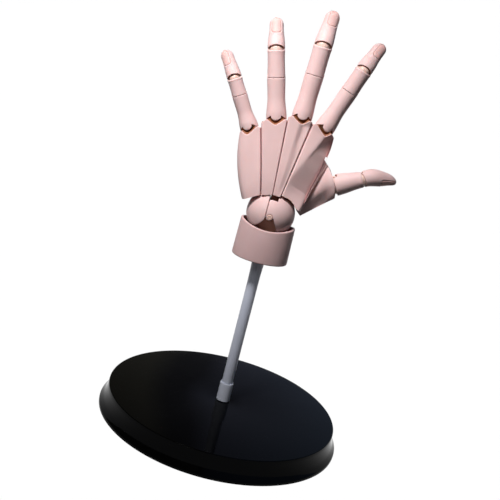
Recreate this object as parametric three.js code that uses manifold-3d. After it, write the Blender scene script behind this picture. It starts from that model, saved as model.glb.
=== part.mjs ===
// Posable life-size left hand on a post and round base, a drawing model built from separate moulded pieces.
// Millimetres, +Z up, origin on the floor at the middle of the base.
// The back of the hand faces -Y and the thumb points to +X.
import * as THREE from "three";
import { mergeVertices } from "three/addons/utils/BufferGeometryUtils.js";
import Module from "manifold-3d";

const wasm = await Module();
wasm.setup();

// Base: a turned disc with a flared wall and a thin lip, and a recess underneath for the screw head.
const BASE_TOP_RADIUS = 95.5;
const BASE_LIP_RADIUS = 101;
const BASE_HEIGHT = 18;
const BASE_LIP_HEIGHT = 2.6;
const BASE_RECESS_RADIUS = 9.5;
const BASE_RECESS_DEPTH = 4.2;
const BASE_EDGE = 0.6;

// Post, its foot sleeve and the screw that holds it down.
// The post's shoulder carries the hand just inside the cuff.
const POST_RADIUS = 4.55;
const POST_TOP_RADIUS = 5.4;
const POST_BOTTOM = 7.5;
const POST_FLARE_LENGTH = 20.4;
const POST_FLARE = 8;
const SHOULDER_RISE = 1.5;
const PEG_RADIUS = 3.6;
const PEG_LENGTH = 11.6;
const PEG_EDGE = 0.8;
const SLEEVE_RADIUS = 5.6;
const SLEEVE_HEIGHT = 16;
const SLEEVE_EDGE = 0.8;
const SCREW_RADIUS = 2;
const SCREW_HEAD_RADIUS = 8;
const SCREW_HEAD_HEIGHT = 2.2;
const SCREW_HEAD_EDGE = 0.8;
const SCREW_TOP = 17;
const SCREW_HOLE_END = 1;

// Forearm cuff: an oval sleeve round the foot of the wrist ball, its upper edge dipped at back and front.
// Its top is wider than the ball at the sides and a little less deep, and it widens downwards by the taper.
const CUFF_BOTTOM = 144.9;
const CUFF_HEIGHT = 30.5;
const CUFF_DIP = 3.8;
const CUFF_PAST_BALL = 3.1;
const CUFF_BEHIND_BALL = 0.6;
const CUFF_TAPER = 0.7;
const CUFF_WALL = 1.9;
const CUFF_EDGE = 0.6;

// Wrist: a split ball that swings sideways on the stem and carries the palm's tongue on a cross axle.
// The ball's centre stands above the cuff's top, and all heights of the hand are taken from that centre.
const BALL_RISE = 7.6;
const BALL_RADIUS = 18.5;
const BALL_SEAM = -3.3;
const BALL_SEAM_GAP = 0.4;
const FAN_LEFT_START = 14;
const FAN_LEFT_RADIUS = 16.5;
const FAN_RIGHT = 25;
const FAN_BACK_START = 3;
const FAN_PALM_START = 4.4;
const SWING_ANGLE = 40;
const SWING_NECK_GAP = 2.2;
const PIN_BOSS_WALL = 1.2;
const STEM_PLUG_RISE = 2.1;
const STEM_PLUG_HEIGHT = 13.8;
const STEM_DISC_RADIUS = 12;
const STEM_DISC_INNER = 6.7;
const STEM_DISC_OUTER = 10.4;
const STEM_NECK_HALF_WIDTH = 7;
const STEM_EYE_RADIUS = 4;
const WRIST_PIN_RADIUS = 2.2;
const WRIST_PIN_PROUD = 0.1;
const WRIST_AXLE_RADIUS = 1.7;
const WRIST_AXLE_HALF_LENGTH = 12.5;
const TONGUE_HALF_WIDTH = 3;
const TONGUE_EYE_RADIUS = 5.6;
const TONGUE_HALF_DEPTH = 3;
const TONGUE_LENGTH = 30;
const SLOT_BACK_ANGLE = 39;
const SLOT_PALM_ANGLE = 42;

// Palm: four metacarpals side by side on one cross axle.
const PALM_AXLE_RISE = 23;
const PALM_AXLE_RADIUS = 1.6;
const PALM_AXLE_LEFT = -23.5;
const PALM_AXLE_RIGHT = 19;
const PALM_BACK_DEPTH = 12.4;
const PALM_FRONT_DEPTH = 12.6;
const PALM_SEAM = 0.45;
const SEAM_SQUARENESS = 11;
const OUTER_SQUARENESS = 3;

// Clearances: round a rod in its bore, at its end, beside a turning face, and round the larger moving forms.
const BORE_GAP = 0.3;
const STACK_GAP = 0.3;
const SLEEVE_GAP = 0.25;
const PEG_END_GAP = 0.6;
const AXLE_END_GAP = 0.4;
const CHEEK_FACE_GAP = 0.4;
const CHEEK_ROUND_GAP = 0.6;
const TONGUE_SIDE_GAP = 0.4;
const TONGUE_EYE_GAP = 0.6;
const TONGUE_END_GAP = 0.8;
const TONGUE_DEPTH_GAP = 2;
const SLOT_GAP = 0.5;
const SOCKET_GAP = 0.9;
const FOLD_SOCKET_GAP = 1.5;
const KNUCKLE_PIN_GAP = 0.25;
const KNUCKLE_NECK_GAP = 0.8;
const KNUCKLE_FOOT_GAP = 1;
const LOBE_GAP = 0.75;
const TRUNNION_GAP = 0.4;
const TRUNNION_END_GAP = 0.25;
const STEM_END_GAP = 0.4;
const THENAR_INDEX_GAP = 0.9;
const LUG_GAP = 0.6;
const LUG_END_GAP = 0.5;

// Finger joints.
const RIM_SEAM = 0.5;
const CHEEK_RADIUS = 2.5;
const CHEEK_GAP = 0.55;
const MIDDLE_JOINT_CUT = 41;
const END_JOINT_CUT = 58;
const END_JOINT_ARCH = 1.9;
const END_JOINT_REST = 20;
const BARREL_WALL = 1.65;
const BARREL_GAP = 1.15;
const TRUNNION_RADIUS = 1;
const TRUNNION_INSET = 0.75;
const STEM_RADIUS = 1.5;
const STEM_DEPTH = 5.2;
const STEM_FLOOR = 1.2;

// Knuckles: the ball's neck turns on a pin below it; lobe and cheeks hang from the proximal phalanx.
const KNUCKLE_SEAT_WALL = 0.85;
const KNUCKLE_BACK_WALL = 1.9;
const KNUCKLE_PALM_WALL = 1.5;
const KNUCKLE_CORNER_DROP = 1.4;
const KNUCKLE_CUT = 50;
const KNUCKLE_CUT_RISE = 0.4;
const KNUCKLE_NOTCH_DROP = 5;
const KNUCKLE_EDGE_DROP = 2.8;
const KNUCKLE_SIDE_DROP = 0.9;
const KNUCKLE_SIDE_DEPTH = 5;
const LOBE_WALL = 1.6;
const LOBE_ANGLE = 35;
const LOBE_DROP = 3.7;
const LOBE_SIDE_DROP = 1.9;
const LOBE_BLEND = 5;
const V_CUT_ANGLE = 50;
const V_CUT_RISE = 0.9;
const KNUCKLE_CHEEK_ANGLE = 82;
const KNUCKLE_CHEEK_BACK = 0.2;
const KNUCKLE_CHEEK_DROP = 2.3;
const KNUCKLE_CHEEK_STEP = 0.7;
const KNUCKLE_TRUNNION_INSET = 0.9;
const KNUCKLE_NECK_RADIUS = 2.5;
const KNUCKLE_NECK_FOOT = 2.6;
const KNUCKLE_PIN_BELOW = 9.5;
const KNUCKLE_PIN_RADIUS = 1;
const KNUCKLE_PIN_BACK = 5;
const KNUCKLE_PIN_PALM = 8.2;

// Thumb.
const THUMB_ANGLE = 63.4;
const THUMB_ROLL = 20;
const THUMB_DEPTH = 3.2;
const THUMB_END_REST = 12;
const THUMB_CURVE = 10.4;
const THUMB_BASE_CUT = 56;
const THUMB_END_CUT = 54;
const THUMB_SEAT_WALL = 2.15;
const THUMB_AXLE_X = 20.6;
const THUMB_AXLE_DEPTH = 4.6;
const THUMB_AXLE_RISE = 7;
const THUMB_AXLE_LEAN = 10.97;
const THUMB_AXLE_START = 1.5;
const THUMB_AXLE_RADIUS = 1.5;
const THUMB_AXLE_LENGTH = 25;
const THUMB_TURN_RADIUS = 7.3;
const THUMB_TURN_GAP = 0.9;
const THUMB_ROOM_TOP = 60;
const THUMB_ROOM_BACK = 6.2;
const THUMB_ROOM_PALM = 3;
const THUMB_ROOM_LEFT = 5;
const THUMB_LUG_RADIUS = 3.4;
const THUMB_LUG_ROOT = 11;
const THUMB_LUG_FROM = 9;
const THUMB_LUG_TO = 15;
const FAR = 80;

// Each finger: knuckle place in the hand plane, lean from upright, joint to joint lengths and half widths.
// The metacarpal's corners are given as left and right points at the wrist end and as reach from the knuckle.
// Rises are heights above the centre of the wrist ball.
const LITTLE = {
  name: "little",
  knuckleX: -33.0, knuckleRise: 61.4, depth: 2.2, lean: -30.6,
  proximal: 24.9, middle: 13.4, distal: 24.2,
  baseHalf: 7.2, pipHalf: 5.75, dipHalf: 5.55, tipHalf: 4.7,
  wristLeftX: -24.4, wristLeftRise: 6.6, wristRightX: -11.1, wristRightRise: 14.2,
  reachLeft: 7.7, reachRight: 9.3, bulgeLeft: -3.0, bulgeRight: 0.3,
};
const RING = {
  name: "ring",
  knuckleX: -14.2, knuckleRise: 73.8, depth: 0.6, lean: -14.3,
  proximal: 29.8, middle: 20.8, distal: 25.4,
  baseHalf: 7.9, pipHalf: 6.8, dipHalf: 6.4, tipHalf: 5.2,
  wristLeftX: -10.9, wristLeftRise: 14.3, wristRightX: -2.1, wristRightRise: 15.6,
  reachLeft: 11.3, reachRight: 8.65, bulgeLeft: 0.3, bulgeRight: 0,
};
const MIDDLE = {
  name: "middle",
  knuckleX: 4.9, knuckleRise: 79.2, depth: 0, lean: 2.1,
  proximal: 32.2, middle: 21.9, distal: 29.4,
  baseHalf: 8.0, pipHalf: 7.1, dipHalf: 6.9, tipHalf: 5.6,
  wristLeftX: -1.9, wristLeftRise: 15.6, wristRightX: 4.3, wristRightRise: 16.5,
  reachLeft: 9.85, reachRight: 8.9, bulgeLeft: 0, bulgeRight: 0,
};
const INDEX = {
  name: "index",
  knuckleX: 24.1, knuckleRise: 75.4, depth: 0.8, lean: 19.6,
  proximal: 32.0, middle: 18.9, distal: 26.2,
  baseHalf: 7.7, pipHalf: 6.5, dipHalf: 6.25, tipHalf: 5.1,
  wristLeftX: 4.5, wristLeftRise: 16.5, wristRightX: 21.8, wristRightRise: 5.4,
  reachLeft: 9.55, reachRight: 9.0, bulgeLeft: 0, bulgeRight: 2.6,
};
const FINGERS = [LITTLE, RING, MIDDLE, INDEX];

// Thumb base piece: edges seen from the back, from the wrist end to the thumb end.
const THENAR = {
  hiddenStartX: 14.5, hiddenStartRise: 11.5, hiddenEndX: 31.6, hiddenEndRise: 51.6,
  openStartX: 22.6, openStartRise: 3.2, openEndX: 45.3, openEndRise: 24.2,
  endBulge: 3.4, startHalfDepth: 7.4, endHalfDepth: 10.2, startDepth: 5.2,
  roundness: 0.8, thinning: 0.28, webReach: 1.6, cornerReach: 1, tuck: 2.6,
};
const THUMB = {
  jointX: 43.6, jointRise: 33.6,
  proximal: 21.6, distal: 26.4,
  baseHalf: 8.6, ipHalf: 6.3, bulbHalf: 6.9, tipHalf: 4.6,
};

// Colours.
const SKIN = new THREE.MeshStandardMaterial({ color: 0xefd2cf, roughness: 0.42, metalness: 0 });
const JOINT = new THREE.MeshStandardMaterial({ color: 0xf3d9c8, roughness: 0.45, metalness: 0 });
const INNER = new THREE.MeshStandardMaterial({ color: 0xb98f80, roughness: 0.6, metalness: 0 });
const BLACK = new THREE.MeshStandardMaterial({ color: 0x101218, roughness: 0.12, metalness: 0 });
const GREY = new THREE.MeshStandardMaterial({ color: 0xb9bac8, roughness: 0.35, metalness: 0.1 });
const STEEL = new THREE.MeshStandardMaterial({ color: 0xa9a9ad, roughness: 0.35, metalness: 1 });

const hand = new THREE.Group();
const RAD = Math.PI / 180;
const ALONG_Y = new THREE.Vector3(0, 1, 0);
const cuffTop = CUFF_BOTTOM + CUFF_HEIGHT;
const ballHeight = cuffTop + BALL_RISE;
const shoulder = CUFF_BOTTOM + SHOULDER_RISE;
const pegTop = shoulder + PEG_LENGTH;
const plugBottom = CUFF_BOTTOM + STEM_PLUG_RISE;
const plugTop = plugBottom + STEM_PLUG_HEIGHT;
const palmAxleHeight = ballHeight + PALM_AXLE_RISE;
const tongueTop = ballHeight + TONGUE_LENGTH;

function add(name, geometry, material) {
  geometry.computeVertexNormals();
  const mesh = new THREE.Mesh(geometry, material);
  mesh.name = name;
  hand.add(mesh);
}

// A closed three.js surface as a solid that can be cut and joined.
function solid(source) {
  const bare = source.clone();
  bare.deleteAttribute("normal");
  bare.deleteAttribute("uv");
  const merged = mergeVertices(bare, 1e-5);
  const vertProperties = new Float32Array(merged.attributes.position.array);
  const triVerts = new Uint32Array(merged.index.array);
  return new wasm.Manifold(new wasm.Mesh({ numProp: 3, vertProperties, triVerts }));
}

// A solid back as a three.js surface.
function surface(body) {
  const mesh = body.getMesh();
  const places = new Float32Array((mesh.vertProperties.length / mesh.numProp) * 3);
  for (let i = 0; i < places.length / 3; i += 1) {
    for (let k = 0; k < 3; k += 1) {
      places[3 * i + k] = mesh.vertProperties[mesh.numProp * i + k];
    }
  }
  const geometry = new THREE.BufferGeometry();
  geometry.setAttribute("position", new THREE.BufferAttribute(places, 3));
  geometry.setIndex(new THREE.BufferAttribute(new Uint32Array(mesh.triVerts), 1));
  return geometry;
}

// Skin stretched over rings of points. A ring of one point closes an end.
// A looped loft joins the last ring to the first.
function loft(rings, looped) {
  const places = [];
  const starts = [];
  rings.forEach((ring) => {
    starts.push(places.length / 3);
    ring.forEach((p) => places.push(p.x, p.y, p.z));
  });
  const faces = [];
  const spans = looped ? rings.length : rings.length - 1;
  for (let r = 0; r < spans; r += 1) {
    const next = (r + 1) % rings.length;
    const count = Math.max(rings[r].length, rings[next].length);
    for (let i = 0; i < count; i += 1) {
      const j = (i + 1) % count;
      const a = starts[r] + (rings[r].length > 1 ? i : 0);
      const b = starts[r] + (rings[r].length > 1 ? j : 0);
      const c = starts[next] + (rings[next].length > 1 ? j : 0);
      const d = starts[next] + (rings[next].length > 1 ? i : 0);
      if (a !== b) {
        faces.push(a, b, c);
      }
      if (c !== d) {
        faces.push(a, c, d);
      }
    }
  }
  const geometry = new THREE.BufferGeometry();
  geometry.setAttribute("position", new THREE.BufferAttribute(new Float32Array(places), 3));
  geometry.setIndex(faces);
  if (volume(geometry) < 0) {
    for (let i = 0; i < faces.length; i += 3) {
      [faces[i], faces[i + 1]] = [faces[i + 1], faces[i]];
    }
    geometry.setIndex(faces);
  }
  return geometry;
}

function volume(geometry) {
  const p = geometry.attributes.position;
  const index = geometry.index.array;
  const a = new THREE.Vector3();
  const b = new THREE.Vector3();
  const c = new THREE.Vector3();
  let sum = 0;
  for (let i = 0; i < index.length; i += 3) {
    a.fromBufferAttribute(p, index[i]);
    b.fromBufferAttribute(p, index[i + 1]);
    c.fromBufferAttribute(p, index[i + 2]);
    sum += a.dot(b.cross(c));
  }
  return sum;
}

// A frame at a joint: along the piece, across it, and out of its back.
function frame(origin, along, across, back) {
  return { origin, along, across, back };
}

function handFrame(x, y, z, lean) {
  const along = new THREE.Vector3(Math.sin(lean * RAD), 0, Math.cos(lean * RAD));
  const across = new THREE.Vector3(Math.cos(lean * RAD), 0, -Math.sin(lean * RAD));
  return frame(new THREE.Vector3(x, y, z), along, across, new THREE.Vector3(0, -1, 0));
}

function at(f, s, w, n) {
  return f.origin.clone().addScaledVector(f.along, s).addScaledVector(f.across, w).addScaledVector(f.back, n);
}

// The frame moved along the piece and bent towards the palm.
function bent(f, distance, angle) {
  const along = f.along.clone().multiplyScalar(Math.cos(angle * RAD));
  along.addScaledVector(f.back, -Math.sin(angle * RAD));
  const back = f.back.clone().multiplyScalar(Math.cos(angle * RAD));
  back.addScaledVector(f.along, Math.sin(angle * RAD));
  return frame(at(f, distance, 0, 0), along, f.across.clone(), back);
}

function rolled(f, angle) {
  const back = f.back.clone().multiplyScalar(Math.cos(angle * RAD));
  back.addScaledVector(f.across, Math.sin(angle * RAD));
  const across = f.across.clone().multiplyScalar(Math.cos(angle * RAD));
  across.addScaledVector(f.back, -Math.sin(angle * RAD));
  return frame(f.origin.clone(), f.along.clone(), across, back);
}

// A round bar between two points.
function bar(from, to, radius, sides) {
  const length = from.distanceTo(to);
  const geometry = new THREE.CylinderGeometry(radius, radius, length, sides);
  const direction = to.clone().sub(from).normalize();
  geometry.applyQuaternion(new THREE.Quaternion().setFromUnitVectors(ALONG_Y, direction));
  const middle = from.clone().add(to).multiplyScalar(0.5);
  geometry.translate(middle.x, middle.y, middle.z);
  return geometry;
}

function ball(centre, radius, wide, high) {
  const geometry = new THREE.SphereGeometry(radius, wide, high);
  geometry.translate(centre.x, centre.y, centre.z);
  return geometry;
}

// A flat outline in the hand plane (x, z) given a thickness from one depth to another.
function plate(outline, fromDepth, toDepth) {
  const shape = new THREE.Shape(outline.map(([x, z]) => new THREE.Vector2(x, z)));
  const geometry = new THREE.ExtrudeGeometry(shape, { depth: toDepth - fromDepth, bevelEnabled: false });
  geometry.rotateX(Math.PI / 2);
  geometry.translate(0, toDepth, 0);
  return geometry;
}

function turned(profile, sides) {
  const points = profile.map(([r, z]) => new THREE.Vector2(r, z));
  const geometry = new THREE.LatheGeometry(points, sides);
  geometry.rotateX(Math.PI / 2);
  return geometry;
}

function mix(a, b, t) {
  return a + (b - a) * t;
}

function eased(a, b, t) {
  const k = Math.min(1, Math.max(0, t));
  return mix(a, b, k * k * (3 - 2 * k));
}

// The round seat inside a piece's end, from the closed end of its bore out to the rim.
// Side +1 opens towards the start of the piece, -1 towards its far end.
function seatRings(f, centre, side, rim, radius, bore, depth, steps) {
  const rows = [];
  const bottom = centre + side * depth;
  const start = Math.asin(bore / radius);
  const opening = bore > 0 ? 0 : 1;
  rows.push([at(f, bottom, 0, 0)]);
  const angles = rim.map((p) => Math.atan2(p.w, p.n));
  const ends = rim.map((p) => Math.acos((side * (p.s - centre)) / Math.hypot(p.s - centre, p.w, p.n)));
  if (bore > 0) {
    rows.push(angles.map((a) => at(f, bottom, bore * Math.sin(a), bore * Math.cos(a))));
  }
  for (let k = opening; k <= steps; k += 1) {
    rows.push(angles.map((a, i) => {
      const t = mix(start, ends[i], k / steps);
      const out = radius * Math.sin(t);
      return at(f, centre + side * radius * Math.cos(t), out * Math.sin(a), out * Math.cos(a));
    }));
  }
  return rows;
}

// Rim of the piece below a hinge: a seam across the back, round cheeks at the sides, a slant at the palm.
function rimBelow(n, cheek, cut) {
  if (n >= cheek) {
    return -RIM_SEAM / 2;
  }
  if (n > -cheek) {
    return Math.sqrt(cheek * cheek - n * n);
  }
  return n / Math.tan(cut * RAD);
}

// Rim of the piece above a hinge, clear of the cheeks, its back edge arched where the joint shows open.
function rimAbove(n, half, cheek, cut, arch) {
  const clear = cheek + CHEEK_GAP;
  if (n >= clear) {
    const rise = arch * Math.max(0, (n - clear) / (half - clear));
    return RIM_SEAM / 2 + rise;
  }
  if (n > -clear) {
    return Math.sqrt(clear * clear - n * n);
  }
  return -n / Math.tan(cut * RAD);
}

// A moulded finger piece: skin between two rims, with a round seat in each end.
// skin(s, angle) gives the across and back reach at a distance along the piece; angle 0 is the back.
function fingerPiece(f, sides, rows, skin, low, high) {
  const angles = Array.from({ length: sides }, (_, i) => (2 * Math.PI * i) / sides);
  const edge = (rim) => angles.map((a) => {
    const s = rim(a);
    const [w, n] = skin(s, a);
    return { s, w, n };
  });
  const lowEdge = edge(low.rim);
  let rings = seatRings(f, 0, 1, lowEdge, low.seat, low.bore, low.depth, low.steps ?? 2);
  const highEdge = high.rim ? edge(high.rim) : null;
  rows.forEach((t) => {
    rings.push(angles.map((a, i) => {
      const s = mix(lowEdge[i].s, highEdge ? highEdge[i].s : high.tip, t);
      const [w, n] = skin(s, a);
      return at(f, s, w, n);
    }));
  });
  if (highEdge) {
    const seat = seatRings(f, high.centre, -1, highEdge, high.seat, high.bore, high.depth, 2);
    rings = rings.concat(seat.reverse());
  } else {
    const [w, n] = skin(high.tip, 0);
    rings.push([at(f, high.tip, w, n)]);
  }
  return loft(rings, false);
}

// A bar across a piece, at a distance along it and as far out on both sides.
function acrossPiece(f, s, reach, radius) {
  return bar(at(f, s, -reach, 0), at(f, s, reach, 0), radius, 6);
}

// A ball barrel with two side trunnions and a stem that is pressed into the next piece.
function barrel(f, radius, trunnion, stem) {
  const round = solid(ball(f.origin, radius, 8, 5));
  const across = acrossPiece(f, 0, trunnion, TRUNNION_RADIUS);
  const tail = bar(at(f, 0, 0, 0), at(f, stem, 0, 0), STEM_RADIUS, 6);
  return surface(round.add(solid(across)).add(solid(tail)));
}

// The hole for a barrel's trunnions, a little wider and longer than they are.
function trunnionHole(f, s, half, inset) {
  return solid(acrossPiece(f, s, half - inset + TRUNNION_END_GAP, TRUNNION_RADIUS + TRUNNION_GAP));
}

// Base plate, turned profile: post hole, screw recess, lip, flared wall and top.
const hole = POST_RADIUS + BORE_GAP;
add("base_plate", turned([
  [hole, BASE_RECESS_DEPTH], [BASE_RECESS_RADIUS, BASE_RECESS_DEPTH], [BASE_RECESS_RADIUS, 0],
  [BASE_LIP_RADIUS - BASE_EDGE, 0], [BASE_LIP_RADIUS, BASE_EDGE], [BASE_LIP_RADIUS, BASE_LIP_HEIGHT],
  [BASE_TOP_RADIUS + 2, BASE_LIP_HEIGHT + 3.2], [BASE_TOP_RADIUS + 0.5, BASE_LIP_HEIGHT + 8.5],
  [BASE_TOP_RADIUS, BASE_HEIGHT - 1.2], [BASE_TOP_RADIUS - 1.2, BASE_HEIGHT], [hole, BASE_HEIGHT],
  [hole, BASE_RECESS_DEPTH],
], 30), BLACK);

// Screw from below, its head in the recess.
const headTop = BASE_RECESS_DEPTH - STACK_GAP;
add("base_screw", turned([
  [0, headTop - SCREW_HEAD_HEIGHT], [SCREW_HEAD_RADIUS - SCREW_HEAD_EDGE, headTop - SCREW_HEAD_HEIGHT],
  [SCREW_HEAD_RADIUS, headTop - SCREW_HEAD_HEIGHT + SCREW_HEAD_EDGE], [SCREW_HEAD_RADIUS, headTop],
  [SCREW_RADIUS, headTop], [SCREW_RADIUS, SCREW_TOP], [0, SCREW_TOP],
], 12), STEEL);

// Foot sleeve, a short tube round the post.
const sleeveBottom = BASE_HEIGHT + STACK_GAP;
const sleeveTop = sleeveBottom + SLEEVE_HEIGHT;
const sleeveBore = POST_RADIUS + SLEEVE_GAP;
add("post_sleeve", turned([
  [sleeveBore, sleeveBottom], [SLEEVE_RADIUS, sleeveBottom], [SLEEVE_RADIUS, sleeveTop - SLEEVE_EDGE],
  [(SLEEVE_RADIUS + sleeveBore) / 2, sleeveTop], [sleeveBore, sleeveTop], [sleeveBore, sleeveBottom],
], 16), GREY);

// Post: straight bar, a little thicker at the top, with a peg that the hand turns on.
const screwBore = SCREW_RADIUS + BORE_GAP;
const screwEnd = SCREW_TOP + SCREW_HOLE_END;
const flareRadius = mix(POST_RADIUS, POST_TOP_RADIUS, 0.4);
add("post", turned([
  [0, screwEnd], [screwBore, screwEnd], [screwBore, POST_BOTTOM], [POST_RADIUS, POST_BOTTOM],
  [POST_RADIUS, shoulder - POST_FLARE_LENGTH], [flareRadius, shoulder - POST_FLARE],
  [POST_TOP_RADIUS, shoulder], [PEG_RADIUS, shoulder], [PEG_RADIUS, pegTop - PEG_EDGE],
  [PEG_RADIUS - PEG_EDGE, pegTop], [0, pegTop],
], 16), GREY);

// Forearm cuff, an oval tube with a saddle-shaped upper edge.
const CUFF_SIDES = 24;
function cuffRing(level, inset) {
  return Array.from({ length: CUFF_SIDES }, (_, i) => {
    const a = (2 * Math.PI * i) / CUFF_SIDES;
    const top = cuffTop - CUFF_DIP * Math.cos(a) * Math.cos(a);
    const taper = CUFF_TAPER * (1 - level) - inset;
    const halfWidth = BALL_RADIUS + CUFF_PAST_BALL + taper;
    const halfDepth = BALL_RADIUS - CUFF_BEHIND_BALL + taper;
    const z = mix(CUFF_BOTTOM, top, level);
    return new THREE.Vector3(halfWidth * Math.sin(a), -halfDepth * Math.cos(a), z);
  });
}
const edgeLevel = CUFF_EDGE / CUFF_HEIGHT;
add("forearm_cuff", loft([
  cuffRing(0, CUFF_EDGE), cuffRing(edgeLevel, 0), cuffRing(1 - edgeLevel, 0), cuffRing(1, CUFF_EDGE),
  cuffRing(1, CUFF_WALL), cuffRing(0, CUFF_WALL),
], true), SKIN);

// Wrist stem: an oval plug in the cuff that turns on the post's peg, with two round cheeks inside the ball.
const centre = new THREE.Vector3(0, 0, ballHeight);
const plugInset = CUFF_WALL + STACK_GAP;
function plugRing(z) {
  const level = (z - CUFF_BOTTOM) / CUFF_HEIGHT;
  return cuffRing(level, plugInset).filter((_, i) => i % 2 === 0).map((p) => p.setZ(z));
}
const plugEnds = [plugBottom, plugTop].map((z) => [new THREE.Vector3(0, 0, z)]);
let stem = solid(loft([plugEnds[0], plugRing(plugBottom), plugRing(plugTop), plugEnds[1]], false));
for (const side of [-1, 1]) {
  const inner = new THREE.Vector3(0, side * STEM_DISC_INNER, ballHeight);
  const outer = new THREE.Vector3(0, side * STEM_DISC_OUTER, ballHeight);
  const disc = bar(inner, outer, STEM_DISC_RADIUS, 18);
  const wide = STEM_NECK_HALF_WIDTH;
  const foot = plugTop - STEM_EYE_RADIUS;
  const head = ballHeight - STEM_EYE_RADIUS;
  const outline = [[-wide, foot], [wide, foot], [wide, head], [-wide, head]];
  const neck = plate(outline, Math.min(inner.y, outer.y), Math.max(inner.y, outer.y));
  const above = new THREE.BoxGeometry(FAR, FAR, FAR);
  above.translate(0, 0, ballHeight + FAR / 2);
  const hub = bar(inner, outer, STEM_EYE_RADIUS, 14);
  stem = stem.add(solid(disc).subtract(solid(above))).add(solid(neck)).add(solid(hub));
}
const pinReach = BALL_RADIUS + WRIST_PIN_RADIUS;
const pinBoreRadius = WRIST_PIN_RADIUS + BORE_GAP;
const pinBore = bar(centre.clone().setY(-pinReach), centre.clone().setY(pinReach), pinBoreRadius, 12);
stem = stem.subtract(solid(pinBore));
const pegBoreTop = new THREE.Vector3(0, 0, pegTop + PEG_END_GAP);
const pegBoreFoot = new THREE.Vector3(0, 0, CUFF_BOTTOM);
stem = stem.subtract(solid(bar(pegBoreFoot, pegBoreTop, PEG_RADIUS + BORE_GAP, 20)));
add("wrist_stem", surface(stem), INNER);

// Wrist ball: cut for the stem's cheeks, the fan opening below the pin, the palm's tongue and the cross axle.
// Its left edge is an arc that turns under the left dome, its right edge runs straight down and out.
const fanReach = BALL_RADIUS + SWING_NECK_GAP * 3;
function fanEdge(start, angle) {
  return [start + fanReach * Math.sin(angle * RAD), ballHeight - fanReach * Math.cos(angle * RAD)];
}
function fan(start) {
  const arc = [0, 1, 2, 3, 4, 5].map((step) => {
    const angle = mix(FAN_LEFT_START, 90, step / 5) * RAD;
    const x = -start - FAN_LEFT_RADIUS * (Math.cos(FAN_LEFT_START * RAD) - Math.cos(angle));
    return [x, ballHeight - FAN_LEFT_RADIUS * (Math.sin(angle) - Math.sin(FAN_LEFT_START * RAD))];
  });
  return [[start, ballHeight], ...arc, [-FAR, arc[5][1]], [0, ballHeight - FAR], fanEdge(start, FAN_RIGHT)];
}
function swingRoom(start) {
  const [x, z] = fanEdge(start, SWING_ANGLE);
  return [[-start, ballHeight], [start, ballHeight], [x, z], [0, ballHeight - FAR], [-x, z]];
}
const roughBall = ball(new THREE.Vector3(), BALL_RADIUS, 20, 11);
let ballBody = solid(roughBall.rotateX(Math.PI / 2).translate(0, 0, ballHeight));
for (const side of [-1, 1]) {
  const near = side * (STEM_DISC_INNER - CHEEK_FACE_GAP);
  const far = side * (STEM_DISC_OUTER + CHEEK_FACE_GAP);
  const out = side * (BALL_RADIUS + WRIST_PIN_RADIUS);
  const pocketRadius = STEM_DISC_RADIUS + CHEEK_ROUND_GAP;
  const pocket = bar(centre.clone().setY(near), centre.clone().setY(far), pocketRadius, 18);
  const room = swingRoom(STEM_NECK_HALF_WIDTH + SWING_NECK_GAP);
  const swing = plate(room, Math.min(near, far), Math.max(near, far));
  const start = side < 0 ? FAN_BACK_START : FAN_PALM_START;
  const opening = plate(fan(start), Math.min(far, out), Math.max(far, out));
  const boss = bar(centre.clone().setY(near), centre.clone().setY(out), WRIST_PIN_RADIUS + PIN_BOSS_WALL, 12);
  ballBody = ballBody.subtract(solid(pocket)).subtract(solid(swing));
  ballBody = ballBody.subtract(solid(opening).subtract(solid(boss)));
}
const slotHalf = TONGUE_HALF_DEPTH + SLOT_GAP;
const slotHalfWidth = TONGUE_HALF_WIDTH + TONGUE_SIDE_GAP;
function slotWall(angle, side) {
  const along = new THREE.Vector2(Math.sin(angle * RAD), Math.cos(angle * RAD));
  const start = new THREE.Vector2(along.y, -along.x).multiplyScalar(side * slotHalf);
  return [start, start.clone().addScaledVector(along, 2 * BALL_RADIUS)];
}
const [backStart, backEnd] = slotWall(-SLOT_BACK_ANGLE, -1);
const [palmStart, palmEnd] = slotWall(SLOT_PALM_ANGLE, 1);
const slotOutline = [backStart, backEnd, new THREE.Vector2(0, FAR), palmEnd, palmStart];
const slot = new THREE.ExtrudeGeometry(new THREE.Shape(slotOutline.reverse()), {
  depth: 2 * slotHalfWidth, bevelEnabled: false,
});
slot.rotateX(Math.PI / 2);
slot.rotateZ(Math.PI / 2);
slot.translate(-slotHalfWidth, 0, ballHeight);
// A bar across the hand at a given height, between two places left and right.
function crossBar(left, right, height, radius, sides) {
  return bar(new THREE.Vector3(left, 0, height), new THREE.Vector3(right, 0, height), radius, sides);
}
const eyeSpace = crossBar(-slotHalfWidth, slotHalfWidth, ballHeight, TONGUE_EYE_RADIUS + TONGUE_EYE_GAP, 14);
ballBody = ballBody.subtract(solid(slot)).subtract(solid(eyeSpace));
const axleSpace = WRIST_AXLE_HALF_LENGTH + AXLE_END_GAP;
const axleBore = crossBar(-axleSpace, axleSpace, ballHeight, WRIST_AXLE_RADIUS + BORE_GAP, 12);
ballBody = ballBody.subtract(solid(axleBore)).subtract(solid(pinBore));
function half(from, to) {
  const box = new THREE.BoxGeometry(to - from, FAR, FAR);
  box.translate((from + to) / 2, 0, ballHeight);
  return surface(ballBody.intersect(solid(box)));
}
add("wrist_ball_left", half(-FAR, BALL_SEAM - BALL_SEAM_GAP / 2), SKIN);
add("wrist_ball_right", half(BALL_SEAM + BALL_SEAM_GAP / 2, FAR), SKIN);

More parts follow.
